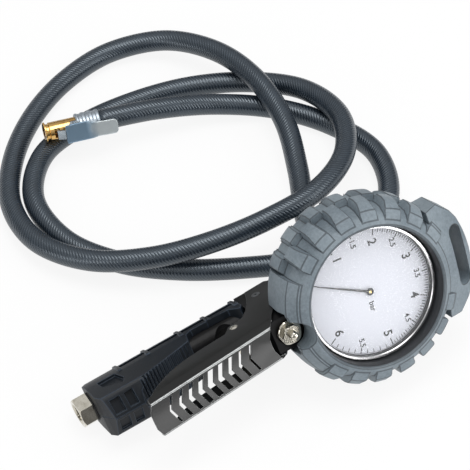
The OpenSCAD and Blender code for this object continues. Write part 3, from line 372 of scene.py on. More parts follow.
def wrapped_hose(name, dark, light, pitch):
    """Cloth-cured rubber cover with the slanting marks of the wrap: a sine of the distance along the hose
    and of the turn round it, from its own UV map, where u is the distance in metres and v the share of a
    turn."""
    finish = Finish(name, Specular_IOR_Level=1.0, Specular_Tint=(0.82, 0.92, 1.0, 1.0))
    along = finish.add("ShaderNodeSeparateXYZ", finish.add("ShaderNodeUVMap"))
    wear = finish.noise(7, 4, 0.65)
    speckle = finish.noise(0.8, 2, 0.6)
    phase = along * (2 * math.pi / (pitch * MM)) + along.output("Y") * (2 * math.pi * MARKS_ROUND_HOSE)
    phase = phase + wear * 2.5
    winding = phase.sine() * 0.5 + 0.5
    share = (winding * 0.2 + wear * 0.6 + speckle * 0.3).ramp(0.3, 0.9)
    finish.feed("Base Color", finish.blend(share, dark, light))
    finish.feed("Roughness", wear * 0.12 + winding * 0.14 + 0.17)
    coarse = finish.bump(winding, 0.1)
    finish.bump(speckle, 0.02, coarse)
    return finish.material


def passivated(name):
    """Zinc sheet with a passivated skin, blue towards the claw and paler towards the tail, from its own UV
    map, where u is the distance from the tail in metres."""
    finish = Finish(name, Metallic=0.7)
    along = finish.add("ShaderNodeSeparateXYZ", finish.add("ShaderNodeUVMap"))
    clouds = finish.noise(5, 3, 0.6)
    share = (along * 1000 + clouds * 7).ramp(14, 23)
    finish.feed("Base Color", finish.blend(share, (0.72, 0.78, 0.8), (0.26, 0.38, 0.5)))
    finish.feed("Roughness", clouds * 0.15 + 0.28)
    finish.bump(finish.noise(0.8, 3, 0.6), 0.004)
    return finish.material


def dress(piece, material):
    """Puts the material on every face of the piece."""
    piece.data.materials.clear()
    piece.data.materials.append(material)
    return piece


# ---------- settings ----------

class InflatorLooks(bpy.types.PropertyGroup):
    """Colours of the inflator."""
    boot_dark: FloatVectorProperty(name="Boot, dark", description="Rubber of the boot where darker",
                                   subtype="COLOR", default=linear(89, 101, 110), min=0, max=1)
    boot_light: FloatVectorProperty(name="Boot, light", description="Rubber of the boot where lighter",
                                    subtype="COLOR", default=linear(138, 149, 156), min=0, max=1)
    grip: FloatVectorProperty(name="Grip", description="Plastic of the grip", subtype="COLOR",
                              default=linear(19, 24, 30), min=0, max=1)
    lever: FloatVectorProperty(name="Lever", description="Paint of the lever", subtype="COLOR",
                               default=linear(9, 10, 10), min=0, max=1)
    hose: FloatVectorProperty(name="Hose", description="Rubber cover of the hose", subtype="COLOR",
                              default=linear(30, 38, 47), min=0, max=1)
    dial: FloatVectorProperty(name="Dial", description="Printed ground of the dial", subtype="COLOR",
                              default=linear(218, 220, 229), min=0, max=1)


class InflatorSizes(bpy.types.PropertyGroup):
    """Sizes of the hose's cover and of the boot's edges."""
    hose_width: FloatProperty(name="Hose width", description="Outside diameter of the hose, in mm",
                              default=13.5, min=12.5, max=14)
    wrap_pitch: FloatProperty(name="Wrap pitch", description="Distance between two marks of the wrap, in mm",
                              default=2.0, min=1, max=5)
    boot_round: FloatProperty(name="Boot rounding", description="Rounding of the boot's moulded edges, in mm",
                              default=0.5, min=0.2, max=0.8)
    hose_sides: IntProperty(name="Hose sides", description="Places in each ring of the hose",
                            default=28, min=12, max=48)


def looks():
    return bpy.context.scene.inflator_looks


def sizes():
    return bpy.context.scene.inflator_sizes


# ---------- stage ----------

VIEW = (-30.7, 50.0)
CAMERA_FROM_DIAL = (-77.28, 32.3, 1400.0)
LENS = 186.5
FLOOR_HALF = 2.5
LAMPS = (("Key", (1.05, -0.85, 0.95), 0.8, 5.0), ("Front", (0.63, -1.3, 0.33), 0.6, 6.5),
         ("Top", (0.1, 0.15, 1.6), 0.9, 11.0), ("Side", (-1.5, -0.3, 0.6), 0.7, 5.0))
LAMPS_AIM = (0, 0.05, 0.03)


def camera_axes(azimuth, elevation):
    """Right, up and back of a camera that looks along the azimuth, counted from +Y towards -X, from above."""
    a, e = math.radians(azimuth), math.radians(elevation)
    right = np.array([math.cos(a), math.sin(a), 0])
    back = np.array([math.sin(a) * math.cos(e), -math.cos(a) * math.cos(e), math.sin(e)])
    return right, np.cross(back, right), back


class INFLATOR_OT_stage(bpy.types.Operator):
    """Pale floor, soft lamps and the camera"""
    bl_idname = "inflator.stage"
    bl_label = "Stage"

    def execute(self, context):
        scene = context.scene
        scene.view_settings.view_transform = "Standard"
        right, up, back = camera_axes(*VIEW)
        camera = bpy.data.objects.new("Camera", bpy.data.cameras.new("Camera"))
        scene.collection.objects.link(camera)
        axes = np.column_stack([right, up, back])
        spot = (stood([0, 0, DIAL_FACE]) + axes @ CAMERA_FROM_DIAL) * MM
        camera.matrix_world = Matrix(np.vstack([np.column_stack([axes, spot]), [0, 0, 0, 1]]).tolist())
        camera.data.sensor_width = 36.0
        camera.data.lens = LENS
        camera.data.clip_start = 0.05
        camera.data.clip_end = 50.0
        scene.camera = camera
        self.floor()
        self.world(scene)
        for lamp in LAMPS:
            self.lamp(*lamp)
        return {"FINISHED"}

    def floor(self):
        """A square of floor, grey for its shadows and near white to the camera and in mirrors."""
        mesh = bpy.data.meshes.new("floor")
        corners = np.array([(-1, -1, 0), (1, -1, 0), (1, 1, 0), (-1, 1, 0)]) * FLOOR_HALF
        mesh.from_pydata(corners.tolist(), [], [(0, 1, 2, 3)])
        floor = show(mesh, "floor")
        finish = Finish("studio_floor", Base_Color=(0.86, 0.86, 0.86), Roughness=0.9, Specular_IOR_Level=0.0)
        share = finish.background_share()[0] * 0.88
        glow = finish.add("ShaderNodeEmission", (1, 1, 1, 1))
        surface = finish.add("ShaderNodeMixShader", share, Field(finish, finish.shader.outputs[0]), glow)
        finish.tree.links.new(surface.socket, finish.output.inputs["Surface"])
        floor.data.materials.append(finish.material)

    def world(self, scene):
        """White where the camera looks. To light the tool, and in mirrors, a room that is darker low down."""
        scene.world = bpy.data.worlds.new("Studio")
        nodes = Nodes(scene.world)
        height = nodes.add("ShaderNodeSeparateXYZ", nodes.add("ShaderNodeTexCoord"), out=2)
        share, glossy = nodes.background_share()
        room = height.ramp(0.0, 0.9, 0.1, 0.75)
        mirrored = glossy * height.ramp(0.0, 0.9, 0.85, 0.25)
        ground = nodes.add("ShaderNodeBackground", (1, 1, 1, 1), room.most(share - mirrored))
        output = nodes.tree.nodes.new("ShaderNodeOutputWorld")
        nodes.tree.links.new(ground.socket, output.inputs["Surface"])

    def lamp(self, name, spot, size, power):
        """A square soft lamp that faces the tool: its place and size in metres, its power in watts."""
        light = bpy.data.lights.new(name, "AREA")
        light.shape = "SQUARE"
        light.size = size
        light.energy = power
        lamp = bpy.data.objects.new(name, light)
        bpy.context.scene.collection.objects.link(lamp)
        lamp.location = spot
        lamp.rotation_euler = (Vector(spot) - Vector(LAMPS_AIM)).to_track_quat("Z", "Y").to_euler()


# ---------- hose ----------
# The outlet's line starts OUTLET_AT from the gauge's axis and drops by OUTLET_DROP degrees. The hose starts
# HOSE_START along it, and its cover by SEAT more. END_PULL is how far straight on the curve's guiding points
# lie, before and after the hose. The route counts from the floor under the dial.

OUTLET_AT = 50.0
OUTLET_DROP = 30.0
HOSE_START = 42.0
END_PULL = 24.0
SEAT = 0.1
STEPS = 12
ROUTE = [[7, 73, 21.5], [19, 100, 17.5], [35, 134, 16.5], [47, 170, 20], [49, 208, 22.5], [41, 245, 19.5],
         [20, 276, 13], [-14, 289, 8], [-51, 282, 7], [-84, 264, 7], [-112, 237, 7], [-130, 204, 8.5],
         [-131, 167, 12], [-112, 135, 16], [-81, 114, 21], [-46, 102, 26.5], [-8, 97, 31], [29, 101, 32],
         [61, 121, 28.5], [78, 154, 23], [74, 190, 15.5], [51, 219, 8.5], [17, 236, 7], [-21, 243, 7],
         [-59, 242, 7.5], [-94, 230, 9], [-116, 200, 9.5], [-114, 163, 7.5], [-94, 131, 7], [-65, 107, 7],
         [-31, 88, 7.5], [4, 75, 7], [42, 73, 7.5], [75, 91, 8.5], [88, 125, 8.5], [77, 162, 7],
         [54, 191, 7.5], [21, 210, 12], [-15, 220, 18.5]]
ROUTE_END = [-54, 228, 21.5]
CHUCK_HEADING = 166.5
CHUCK_ROLL = 24.0
CHUCK_TURN = turn("Z", CHUCK_HEADING) @ turn("X", CHUCK_ROLL)


def on_chuck(points):
    """Points of the chuck's frame (x to its mouth, y to its clip), moved to where it lies."""
    return np.asarray(points, float) @ CHUCK_TURN.T + DIAL_FLOOR + ROUTE_END


def outlet(distance):
    """The point at that distance along the hose outlet's axis."""
    drop = math.radians(OUTLET_DROP)
    return stood([-OUTLET_AT + distance * math.cos(drop), 0, -distance * math.sin(drop)])


def hose_line():
    """Points along the hose, STEPS to each stretch between two points of the route. A stretch is a cubic: the
    lines through its four nearest points, blended pair by pair by the distance gone along them."""
    heading = CHUCK_TURN[:, 0]
    end = DIAL_FLOOR + ROUTE_END
    points = np.vstack([outlet(HOSE_START - END_PULL), outlet(HOSE_START + SEAT),
                        DIAL_FLOOR + np.array(ROUTE), end, end + END_PULL * heading])
    a, b, c, d = (points[i:len(points) - 3 + i, None] for i in range(4))
    span = [np.linalg.norm(q - p, axis=2, keepdims=True) for p, q in ((a, b), (b, c), (c, d))]
    tb, tc, td = span[0], span[0] + span[1], span[0] + span[1] + span[2]
    t = tb + span[1] * (np.arange(STEPS) / STEPS)[None, :, None]

    def mixed(p, q, start, stop):
        return (p * (stop - t) + q * (t - start)) / (stop - start)

    ab, bc, cd = mixed(a, b, 0, tb), mixed(b, c, tb, tc), mixed(c, d, tc, td)
    curve = mixed(mixed(ab, bc, 0, tc), mixed(bc, cd, tb, td), tb, tc)
    return np.vstack([curve.reshape(-1, 3), end])


def tube_along(line, radius, sides, start_heading, end_heading):
    """Points and UV map of a round tube: at each point of the line a ring of the given radius stands square
    to the line's heading, its places counted from the level side. u is the distance along the line in metres
    and v the share of a turn round it."""
    heading = np.vstack([start_heading, line[2:] - line[:-2], end_heading])
    side = np.cross(heading, [0, 0, 1])
    side /= np.linalg.norm(side, axis=1, keepdims=True)
    rise = np.cross(side, heading)
    rise /= np.linalg.norm(rise, axis=1, keepdims=True)
    round_it = 2 * np.pi * np.arange(sides) / sides
    ray = side[:, None] * np.cos(round_it)[:, None] + rise[:, None] * np.sin(round_it)[:, None]
    rings = line[:, None] + radius * ray
    along = np.concatenate([[0], np.cumsum(np.linalg.norm(np.diff(line, axis=0), axis=1))])
    uv = np.stack(np.broadcast_arrays(along[:, None] * MM, np.arange(sides)[None] / sides), axis=-1)
    return rings, uv


class INFLATOR_OT_hose(bpy.types.Operator):
    """Rubber hose from the handle's ferrule to the chuck, on the route that the CAD hose lies on"""
    bl_idname = "inflator.hose"
    bl_label = "Hose"

    def execute(self, context):
        rings, uv = tube_along(hose_line(), sizes().hose_width / 2, sizes().hose_sides, outlet(1) - outlet(0),
                               CHUCK_TURN[:, 0])
        hose = show(grid_mesh("hose_cover", rings[:, ::-1], uv=uv[:, ::-1]), "hose_cover")
        rubber = wrapped_hose("hose_cover", scaled(looks().hose, 0.72), scaled(looks().hose, 1.5),
                              sizes().wrap_pitch)
        dress(hose, rubber)
        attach(hose, "inflator")
        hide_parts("hose")
        return {"FINISHED"}


class INFLATOR_OT_cord(bpy.types.Operator):
    """Works out the hose's line as points in metres, and makes nothing from them"""
    bl_idname = "inflator.cord"
    bl_label = "Cord"

    def execute(self, context):
        line = hose_line()
        path = [tuple(point) for point in (line * MM).tolist()]
        return {"FINISHED"}


# ---------- dial ----------
# SCALE gives the angle of each printed pressure, in degrees clockwise from the dial's top. WHOLE to TWENTIETH
# are the lengths of the marks, BOLD and FINE their widths, LARGE and SMALL the heights of the figures, and
# WHOLE_AT and HALF_AT how far out these stand. The needle and its ring are placed from the staff and from the
# dial, and NEEDLE_ZERO is the needle's angle at rest.

SCALE = [(0, -152.8), (1, -118.4), (1.5, -94.9), (2, -71.9), (2.5, -47.6), (3, -23.4), (3.5, 2.1), (4, 26.5),
         (4.5, 53.1), (5, 81.2), (5.5, 113.2), (6, 144.8)]
PRINT_LIFT = 0.05
SCALE_OUT = 37.6
SCALE_LINE = 0.2
WHOLE, HALF, TENTH, TWENTIETH = 4.2, 3.4, 2.3, 1.7
LOWEST_HALF = 2.9
BOLD, FINE = 0.6, 0.42
WHOLE_AT, HALF_AT = 29.6, 31.2
LARGE, SMALL = 5.4, 3.3
UNIT_AT = (-0.4, -9.6)
NEEDLE_TAIL, NEEDLE_TIP = -1.6, 34.0
NEEDLE_HALF, TIP_HALF = 0.75, 0.24
NEEDLE_BACK, NEEDLE_FRONT = 0.75, 1.05
RING_AT, RING_REACH, RING_WIRE = 1.1, 1.75, 0.5
NEEDLE_ZERO = -297.5 / 2 - 4
CAPITAL, THICKER = 0.72, 0.028


def dial_angle(value):
    """Angle of a pressure on the dial, in a straight line between those of the printed pressures."""
    values, angles = np.array(SCALE).T
    return np.interp(value, values, angles)


def dial_heading(angle):
    """Direction of an angle on the dial, and the direction square to it."""
    a = math.radians(-angle)
    return np.array([math.cos(a), math.sin(a)]), np.array([-math.sin(a), math.cos(a)])


def tick(angle, inner, outer, width):
    """Four corners of one radial mark."""
    out, side = dial_heading(angle)
    side = side * width / 2
    return np.array([out * inner - side, out * outer - side, out * outer + side, out * inner + side])


def arc(start, end, inner, outer, steps):
    """Outlines of the four-sided pieces of a thin arc between two angles."""
    a = np.radians(-np.linspace(start, end, steps + 1))
    ray = np.stack([np.cos(a), np.sin(a)], axis=1)
    return list(np.stack([ray[:-1] * inner, ray[:-1] * outer, ray[1:] * outer, ray[1:] * inner], axis=1))


def lettering(text, height, spot):
    """Places and faces of a flat number or unit, its middle at the spot, its foot away from the dial's top.
    CAPITAL is the share of the type's size that a figure is high, THICKER the share it is fattened by."""
    curve = bpy.data.curves.new("lettering", "FONT")
    curve.body = text
    curve.size = height / CAPITAL
    curve.align_x = "CENTER"
    curve.align_y = "CENTER"
    curve.fill_mode = "BOTH"
    curve.resolution_u = 6
    curve.offset = THICKER * height
    holder = show(curve, "lettering")
    bpy.context.view_layer.update()
    mesh = bpy.data.meshes.new_from_object(holder.evaluated_get(bpy.context.evaluated_depsgraph_get()))
    bpy.data.objects.remove(holder)
    flat = np.empty(len(mesh.vertices) * 3)
    mesh.vertices.foreach_get("co", flat)
    flat = flat.reshape(-1, 3)[:, :2]
    flat = flat - (flat.min(axis=0) + flat.max(axis=0)) / 2
    placed = np.stack([spot[0] + flat[:, 1], spot[1] - flat[:, 0]], axis=1)
    faces = [list(face.vertices) for face in mesh.polygons]
    bpy.data.meshes.remove(mesh)
    return placed, faces


class INFLATOR_OT_dial_print(bpy.types.Operator):
    """Scale, numbers and unit printed on the dial, and its needle"""
    bl_idname = "inflator.dial_print"
    bl_label = "Dial print"

    def execute(self, context):
        points = self.marks()
        faces = np.arange(4 * len(points)).reshape(-1, 4).tolist()
        for text, height, spot in self.words():
            placed, letters = lettering(text, height, spot)
            count = sum(len(part) for part in points)
            faces += [[v + count for v in face] for face in letters]
            points.append(placed)
        flat = np.concatenate(points)
        lifted = on_dial(np.column_stack([flat, np.full(len(flat), DIAL_FACE + PRINT_LIFT)]))
        mesh = bpy.data.meshes.new("dial_print")
        mesh.from_pydata((lifted * MM).tolist(), [], faces)
        self.face_out(mesh)
        piece = show(mesh, "dial_print")
        dress(piece, printed("black_ink", linear(16, 16, 20)))
        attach(piece, "inflator")
        self.needle()
        return {"FINISHED"}

    def marks(self):
        """Outlines of every mark of the scale and of the thin line along their ends. There are twentieths
        from 2 to 5 and tenths from there to 6, and below 2 only the marks beside the numbers and at zero."""
        lengths = {0: WHOLE, 1: HALF, 1.5: LOWEST_HALF}
        for step in range(2 * 20, 6 * 20 + 1):
            value = step / 20
            whole, half, tenth = step % 20 == 0, step % 10 == 0, step % 2 == 0
            if value <= 5 or tenth:
                lengths[value] = WHOLE if whole else HALF if half else TENTH if tenth else TWENTIETH
        shapes = [tick(dial_angle(value), SCALE_OUT - length, SCALE_OUT, BOLD if value * 2 % 1 == 0 else FINE)
                  for value, length in lengths.items()]
        return shapes + arc(dial_angle(2), dial_angle(6), SCALE_OUT, SCALE_OUT + SCALE_LINE, 90)

    def words(self):
        """Text, height and place of the unit and of each number."""
        words = [("bar", SMALL, UNIT_AT)]
        for value, angle in SCALE[1:]:
            radius, height = (WHOLE_AT, LARGE) if value % 1 == 0 else (HALF_AT, SMALL)
            words.append((f"{value:g}", height, radius * dial_heading(angle)[0]))
        return words

    def face_out(self, mesh):
        """Turns each face that looks into the dial."""
        out = Vector(STAND[:, 2])
        with edited(mesh) as work:
            bmesh.ops.reverse_faces(work, faces=[face for face in work.faces if face.normal.dot(out) < 0])

    def needle(self):
        """The needle and its ring, at zero. The needle is a four-sided bar whose half width stays the same up
        to the hub and from there falls in a straight line to the tip. The ring is a torus round the staff."""
        ray, side = dial_heading(NEEDLE_ZERO)
        x = np.linspace(NEEDLE_TAIL, NEEDLE_TIP, 24)
        half = np.interp(x, [NEEDLE_TAIL, 0, NEEDLE_TIP], [NEEDLE_HALF, NEEDLE_HALF, TIP_HALF])
        flat = x[:, None, None] * ray + (half[:, None] * np.array([-1, 1, 1, -1]))[..., None] * side
        height = DIAL_FACE + np.array([NEEDLE_BACK, NEEDLE_BACK, NEEDLE_FRONT, NEEDLE_FRONT])
        bar = np.concatenate([flat, np.broadcast_to(height, flat.shape[:2])[..., None]], axis=2)
        round_hub, round_wire = (2 * np.pi * np.arange(count)[:, None] / count for count in (40, 12))
        reach, rise = (RING_WIRE * wave(round_wire).T for wave in (np.cos, np.sin))
        ring = np.stack(np.broadcast_arrays(np.cos(round_hub) * (RING_REACH + reach),
                                            np.sin(round_hub) * (RING_REACH + reach),
                                            DIAL_FACE + RING_AT + rise), axis=-1)
        ring = np.concatenate([ring, ring[:1]])
        ink = printed("pointer_paint", (0.008, 0.008, 0.01), 0.35)
        for name, rings, closed in (("needle", bar, True), ("needle_ring", ring, False)):
            mesh = grid_mesh(name, on_dial(rings), caps=closed)
            if closed:
                mesh.shade_flat()
            piece = dress(show(mesh, name), ink)
            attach(piece, "pointer")
            if closed:
                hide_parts("gauge_pointer")


# ---------- boot ----------
# The boot's inside is made of its faces that look at the gauge's axis from nearer than GAUGE_WALL; it gets a
# darker rubber, painted shade of the recess round the gauge.

GAUGE_WALL = 42.5


class INFLATOR_OT_boot(bpy.types.Operator):
    """Rubber boot with moulded, rounded edges, with painted shade along those edges and where it faces the
    gauge
    """
    bl_idname = "inflator.boot"
    bl_label = "Boot"

    def execute(self, context):
        rubber = moulded_rubber("boot_rubber", tuple(looks().boot_dark), tuple(looks().boot_light))
        piece = dress(eased("rubber_boot", "inflator", sizes().boot_round, 24), rubber)
        # Darker rubber where the boot faces the gauge: painted shade of the recess.
        piece.data.materials.append(moulded_rubber("boot_inside_painted_shade", linear(30, 32, 35), linear(38, 41, 44)))
        # Darker rubber on the rounded edges: painted shade along them.
        paint_edge_light_and_shade(piece, moulded_rubber("boot_edges_painted_shade", linear(60, 68, 74), linear(94, 102, 108)))
        count = len(piece.data.polygons)
        middle, facing = np.empty(count * 3), np.empty(count * 3)
        piece.data.polygons.foreach_get("center", middle)
        piece.data.polygons.foreach_get("normal", facing)
        middle = (middle.reshape(-1, 3) / MM - STAND_SHIFT) @ STAND
        facing = facing.reshape(-1, 3) @ STAND
        reach = np.hypot(middle[:, 0], middle[:, 1])
        inward = (middle[:, 0] * facing[:, 0] + middle[:, 1] * facing[:, 1]) / reach < -0.5
        inside = inward & (reach < GAUGE_WALL)
        piece.data.polygons.foreach_set("material_index", inside.astype(np.int32))
        return {"FINISHED"}


# ---------- chuck clip ----------
# In the chuck's frame x runs to its mouth and y out to its clip. The sheet runs from TAIL to NOSE, SHEET_AT
# out. Towards the tail it steps out by STEP_OUT from STEP_FROM over STEP_LONG, rises by RISE from RISE_FROM
# over RISE_LONG, and gets narrower by NARROWER from NARROW_FROM over NARROW_LONG. CLAW and LUG are outlines.

TAIL, NOSE = -9.0, 23.7
TAIL_ROUND, NOSE_ROUND = 2.6, 0.8
SHEET_AT = 10.4
STEP_OUT, STEP_FROM, STEP_LONG = 1.4, 11.0, 4.5
RISE, RISE_FROM, RISE_LONG = 1.8, 7.0, 16.0
HALF_WIDTH, NARROWER, NARROW_FROM, NARROW_LONG = 6.2, 1.3, 10.5, 7.0
THIN = 1.0
CLAW = [(23.6, 9.9), (27.7, 8.2), (27.7, 3.95), (28.7, 3.95), (28.7, 8.9), (24.1, 10.9), (23.6, 10.9)]
CLAW_HALF = 2.9
LUG = [(13.9, 9.9), (15.1, 6.4), (16.5, 5.8), (18.5, 5.8), (19.9, 6.4), (21.1, 9.9)]


class INFLATOR_OT_clip(bpy.types.Operator):
    """Spring clip of the chuck: a bent sheet with a rounded tail, two lugs on the pin, and its claw"""
    bl_idname = "inflator.clip"
    bl_label = "Clip"

    def execute(self, context):
        zinc = bright_metal("zinc", (0.62, 0.69, 0.74), (0.42, 0.5, 0.56), 0.2)
        sheet, uv = self.sheet()
        shapes = {"clip_sheet": sheet, "clip_claw": self.slab(CLAW, -CLAW_HALF, CLAW_HALF),
                  "clip_lug_left": self.slab(LUG, -HALF_WIDTH, THIN - HALF_WIDTH),
                  "clip_lug_right": self.slab(LUG, HALF_WIDTH - THIN, HALF_WIDTH)}
        for name, rings in shapes.items():
            bent = name == "clip_sheet"
            mesh = grid_mesh(name, on_chuck(rings), uv=uv if bent else None)
            if not bent:
                mesh.shade_flat()
            piece = dress(show(mesh, name), passivated("clip_zinc") if bent else zinc)
            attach(piece, "clip")
            if bent:
                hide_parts("chuck_clip")
        return {"FINISHED"}

    def slab(self, outline, low, high):
        """The outline, drawn along the chuck and out of it, between two places across it."""
        flat = np.array(outline)
        return np.stack([np.column_stack([flat, np.full(len(flat), z)]) for z in (high, low)])

    def sheet(self):
        """The sheet's line runs level over the lugs, steps out in a smooth bend, the cubic that is level at
        both ends, and rises evenly to the tail. Its section is a rounded oblong, the powers of a sine and a
        cosine, whose width falls from the lugs to the tail and closes in quarter circles at both ends."""
        tail_end, nose_end = TAIL + TAIL_ROUND, NOSE - NOSE_ROUND
        x = np.concatenate([np.linspace(TAIL, tail_end, 9)[:-1], np.linspace(tail_end, nose_end, 40)[:-1],
                            np.linspace(nose_end, NOSE, 5)])
        bend = np.clip((STEP_FROM - x) / STEP_LONG, 0, 1)
        rise = RISE * np.clip((RISE_FROM - x) / RISE_LONG, 0, 1)
        y = SHEET_AT + STEP_OUT * bend * bend * (3 - 2 * bend) + rise
        half = HALF_WIDTH - NARROWER * np.clip((NARROW_FROM - x) / NARROW_LONG, 0, 1)
        for end, radius in ((TAIL, TAIL_ROUND), (NOSE, NOSE_ROUND)):
            short = np.clip(1 - np.abs(x - end) / radius, 0, 1)
            half = half - radius * (1 - np.sqrt(1 - short ** 2))
        slope = np.gradient(y, x)
        lean = np.stack([-slope, np.ones_like(slope)], axis=1) / np.hypot(slope, 1)[:, None]
        round_it = 2 * np.pi * (np.arange(24) + 0.5) / 24
        wide, thick = (np.sign(wave) * np.abs(wave) ** 0.3 for wave in (np.cos(round_it), np.sin(round_it)))
        middle = np.stack([x, y], axis=1)[:, None] + THIN / 2 * thick[None, :, None] * lean[:, None]
        uv = np.stack(np.broadcast_arrays((x[:, None] - TAIL) * MM, np.arange(24)[None] / 24), axis=-1)
        return np.concatenate([middle, (half[:, None] * wide)[..., None]], axis=2), uv


# ---------- handle, lever and fittings ----------
# INLET_END is how far from the gauge's axis the inlet ends, and its thread starts THREAD_IN inside it. FOLD
# is the rounding of the lever's folds, which are its edges longer than FOLD_LONG and sharper than FOLD_SHARP
# degrees. The rounding of its other sharp edges is LESSER_SHARE of it.

INLET_END = 176.1
THREAD_IN = 1.6
THREAD_PITCH = 1.34
THREAD_BORE = 5.85
THREAD_DEPTH = 0.7
THREAD_TURNS = 6
FOLD = 0.9
FOLD_LONG = 40
FOLD_SHARP = 40
LESSER_SHARE = 0.12


class INFLATOR_OT_handle(bpy.types.Operator):
    """Casting, grip halves, inlet with its thread, and the deflate cap and button"""
    bl_idname = "inflator.handle"
    bl_label = "Handle"

    def execute(self, context):
        base = tuple(looks().grip)
        plastic = grained_plastic("grip_plastic", base, scaled(base, 1.35))
        # Much lighter plastic on the grips' rounded edges: painted highlight along the ridges.
        edge_highlight = grained_plastic("grip_edges_painted_highlight", scaled(base, 3.6), scaled(base, 5.2))
        for node in ("grip_left", "grip_right"):
            paint_edge_light_and_shade(dress(eased(node, "inflator", 0.35), plastic), edge_highlight)
        paint = powder_coat("cast_paint", linear(7, 7, 8), linear(12, 12, 14), 0.42, 0.18)
        dress(eased("valve_body", "inflator", 0.5, held=True), paint)
        nickel = bright_metal("nickel", (0.68, 0.65, 0.57), (0.42, 0.39, 0.32), 0.07)
        dress(eased("inlet_nut", "inflator", 0.35, held=True), nickel)
        dress(eased("bleed_cap", "inflator", 0.3, held=True), nickel)
        dress(eased("bleed_button", "bleed", 0.4, held=True), nickel)
        self.thread(nickel)
        return {"FINISHED"}

    def thread(self, nickel):
        """The inlet's thread: a ridge of three-sided section, its foot on the helix of the bore's radius that
        gains one pitch in a turn, and its crest let in over a quarter turn at both ends."""
        t = np.linspace(0, THREAD_TURNS, THREAD_TURNS * 28 + 1)[:, None]
        along = THREAD_IN - INLET_END + THREAD_PITCH * (t + [-0.42, 0.42, 0])
        reach = np.minimum(1, 4 * np.minimum(t, THREAD_TURNS - t)) * THREAD_DEPTH
        radius = THREAD_BORE - reach * [0, 0, 1]
        angle = 2 * np.pi * t
        rings = stood(np.stack([along, radius * np.cos(angle), radius * np.sin(angle)], axis=-1))
        mesh = grid_mesh("inlet_thread", rings[:, ::-1])
        mesh.shade_flat()
        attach(dress(show(mesh, "inlet_thread"), nickel), "inflator")


class INFLATOR_OT_lever(bpy.types.Operator):
    """Pressed steel lever, with a painted highlight along the folds and edges: a bare metal finish on their
    rounding
    """
    bl_idname = "inflator.lever"
    bl_label = "Lever"

    def execute(self, context):
        base = tuple(looks().lever)
        paint = powder_coat("lever_paint", base, scaled(base, 1.3), 0.3, 0.48)
        piece = dress(eased("lever", "lever", FOLD), paint)
        rounding = piece.modifiers["Edges"]
        rounding.limit_method = "WEIGHT"
        rounding.segments = 3
        self.weigh(piece.data)
        # Bare metal on the rounded folds and edges: painted highlight along them.
        paint_edge_light_and_shade(piece, bright_metal("lever_edges_painted_highlight", (0.3, 0.31, 0.31), (0.2, 0.2, 0.2), 0.3))
        return {"FINISHED"}

    def weigh(self, mesh):
        """Gives the long folds beside the web the full rounding, and every other sharp edge a small share."""
        with edited(mesh) as work:
            share = work.edges.layers.float.new("bevel_weight_edge")
            for edge in work.edges:
                sharp = math.degrees(edge.calc_face_angle(0))
                if edge.calc_length() > FOLD_LONG * MM and sharp > FOLD_SHARP:
                    edge[share] = 1.0
                elif sharp > SHARP:
                    edge[share] = LESSER_SHARE


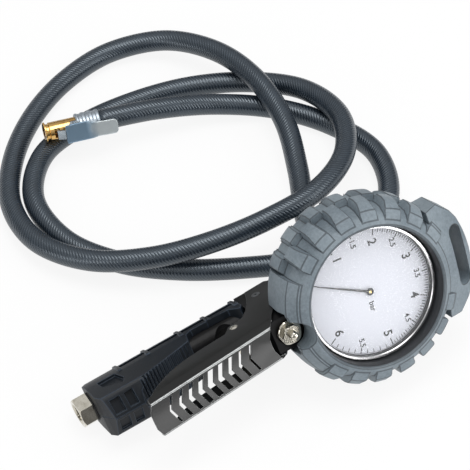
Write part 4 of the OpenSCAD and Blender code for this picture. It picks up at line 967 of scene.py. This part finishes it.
class INFLATOR_OT_finishes(bpy.types.Operator):
    """Chuck, and the finishes of every node of the CAD model"""
    bl_idname = "inflator.finishes"
    bl_label = "Finishes"

    def execute(self, context):
        made = bpy.data.materials
        zinc = made["zinc"]
        brass = bright_metal("chuck_brass", (0.72, 0.46, 0.17), (0.5, 0.28, 0.09), 0.12)
        dress(eased("chuck_ferrule", "inflator", 0.3, held=True), zinc)
        dress(eased("chuck_body", "inflator", 0.25, held=True), brass)
        steel = bright_metal("spring_steel", (0.55, 0.55, 0.56), (0.42, 0.42, 0.43), 0.2)
        dark_steel = bright_metal("dark_steel", (0.22, 0.23, 0.24), (0.14, 0.145, 0.15), 0.28)
        seal = moulded_rubber("seal_rubber", (0.018, 0.018, 0.018), (0.03, 0.03, 0.03), 0.3)
        kinds = {
            "screw_steel": dark_steel, "pivot_steel": dark_steel, "spring_steel": steel, "bezel_steel": steel,
            "seal_rubber": seal, "zinc": zinc, "chuck_brass": brass, "lens": clear_pane("lens"),
            "brass": bright_metal("movement_brass", (0.62, 0.45, 0.18), (0.5, 0.35, 0.14), 0.22),
            "bronze": bright_metal("bronze", (0.5, 0.32, 0.15), (0.36, 0.22, 0.1), 0.3),
            "fibre": printed("fibre", (0.03, 0.03, 0.03), 0.6),
            "case_paint": powder_coat("case_paint", (0.02, 0.02, 0.022), (0.03, 0.03, 0.033), 0.3),
            "dial_paint": printed("dial_paint", tuple(looks().dial), 0.45),
            "hose_rubber": made["hose_cover"]}
        for slot in ("nickel", "pointer_paint", "cast_paint", "grip_plastic", "lever_paint", "boot_rubber"):
            kinds[slot] = made[slot]
        for entry in frame["record"]["subparts"]:
            dress(frame["nodes"][entry["node"]], kinds[entry["material_slot"]])
        return {"FINISHED"}


# ---------- panel ----------

OPERATORS = [INFLATOR_OT_stage, INFLATOR_OT_hose, INFLATOR_OT_dial_print, INFLATOR_OT_boot, INFLATOR_OT_clip,
             INFLATOR_OT_handle, INFLATOR_OT_lever, INFLATOR_OT_finishes, INFLATOR_OT_cord]


class INFLATOR_PT_pieces(bpy.types.Panel):
    """Pieces of the inflator"""
    bl_idname = "INFLATOR_PT_pieces"
    bl_label = "Inflator"
    bl_space_type = "VIEW_3D"
    bl_region_type = "UI"
    bl_category = "Inflator"

    def draw(self, context):
        for group in (context.scene.inflator_looks, context.scene.inflator_sizes):
            for name in group.__annotations__:
                self.layout.prop(group, name)
        for operator in OPERATORS:
            self.layout.operator(operator.bl_idname)


CLASSES = [InflatorLooks, InflatorSizes, *OPERATORS, INFLATOR_PT_pieces]


def register():
    for kind in CLASSES:
        bpy.utils.register_class(kind)
    bpy.types.Scene.inflator_looks = PointerProperty(type=InflatorLooks)
    bpy.types.Scene.inflator_sizes = PointerProperty(type=InflatorSizes)


def unregister():
    del bpy.types.Scene.inflator_sizes
    del bpy.types.Scene.inflator_looks
    for kind in reversed(CLASSES):
        bpy.utils.unregister_class(kind)


def main():
    """Makes every piece in order."""
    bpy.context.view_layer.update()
    register()
    for operator in OPERATORS:
        group, name = operator.bl_idname.split(".")
        getattr(getattr(bpy.ops, group), name)()


if __name__ == "__main__":
    main()
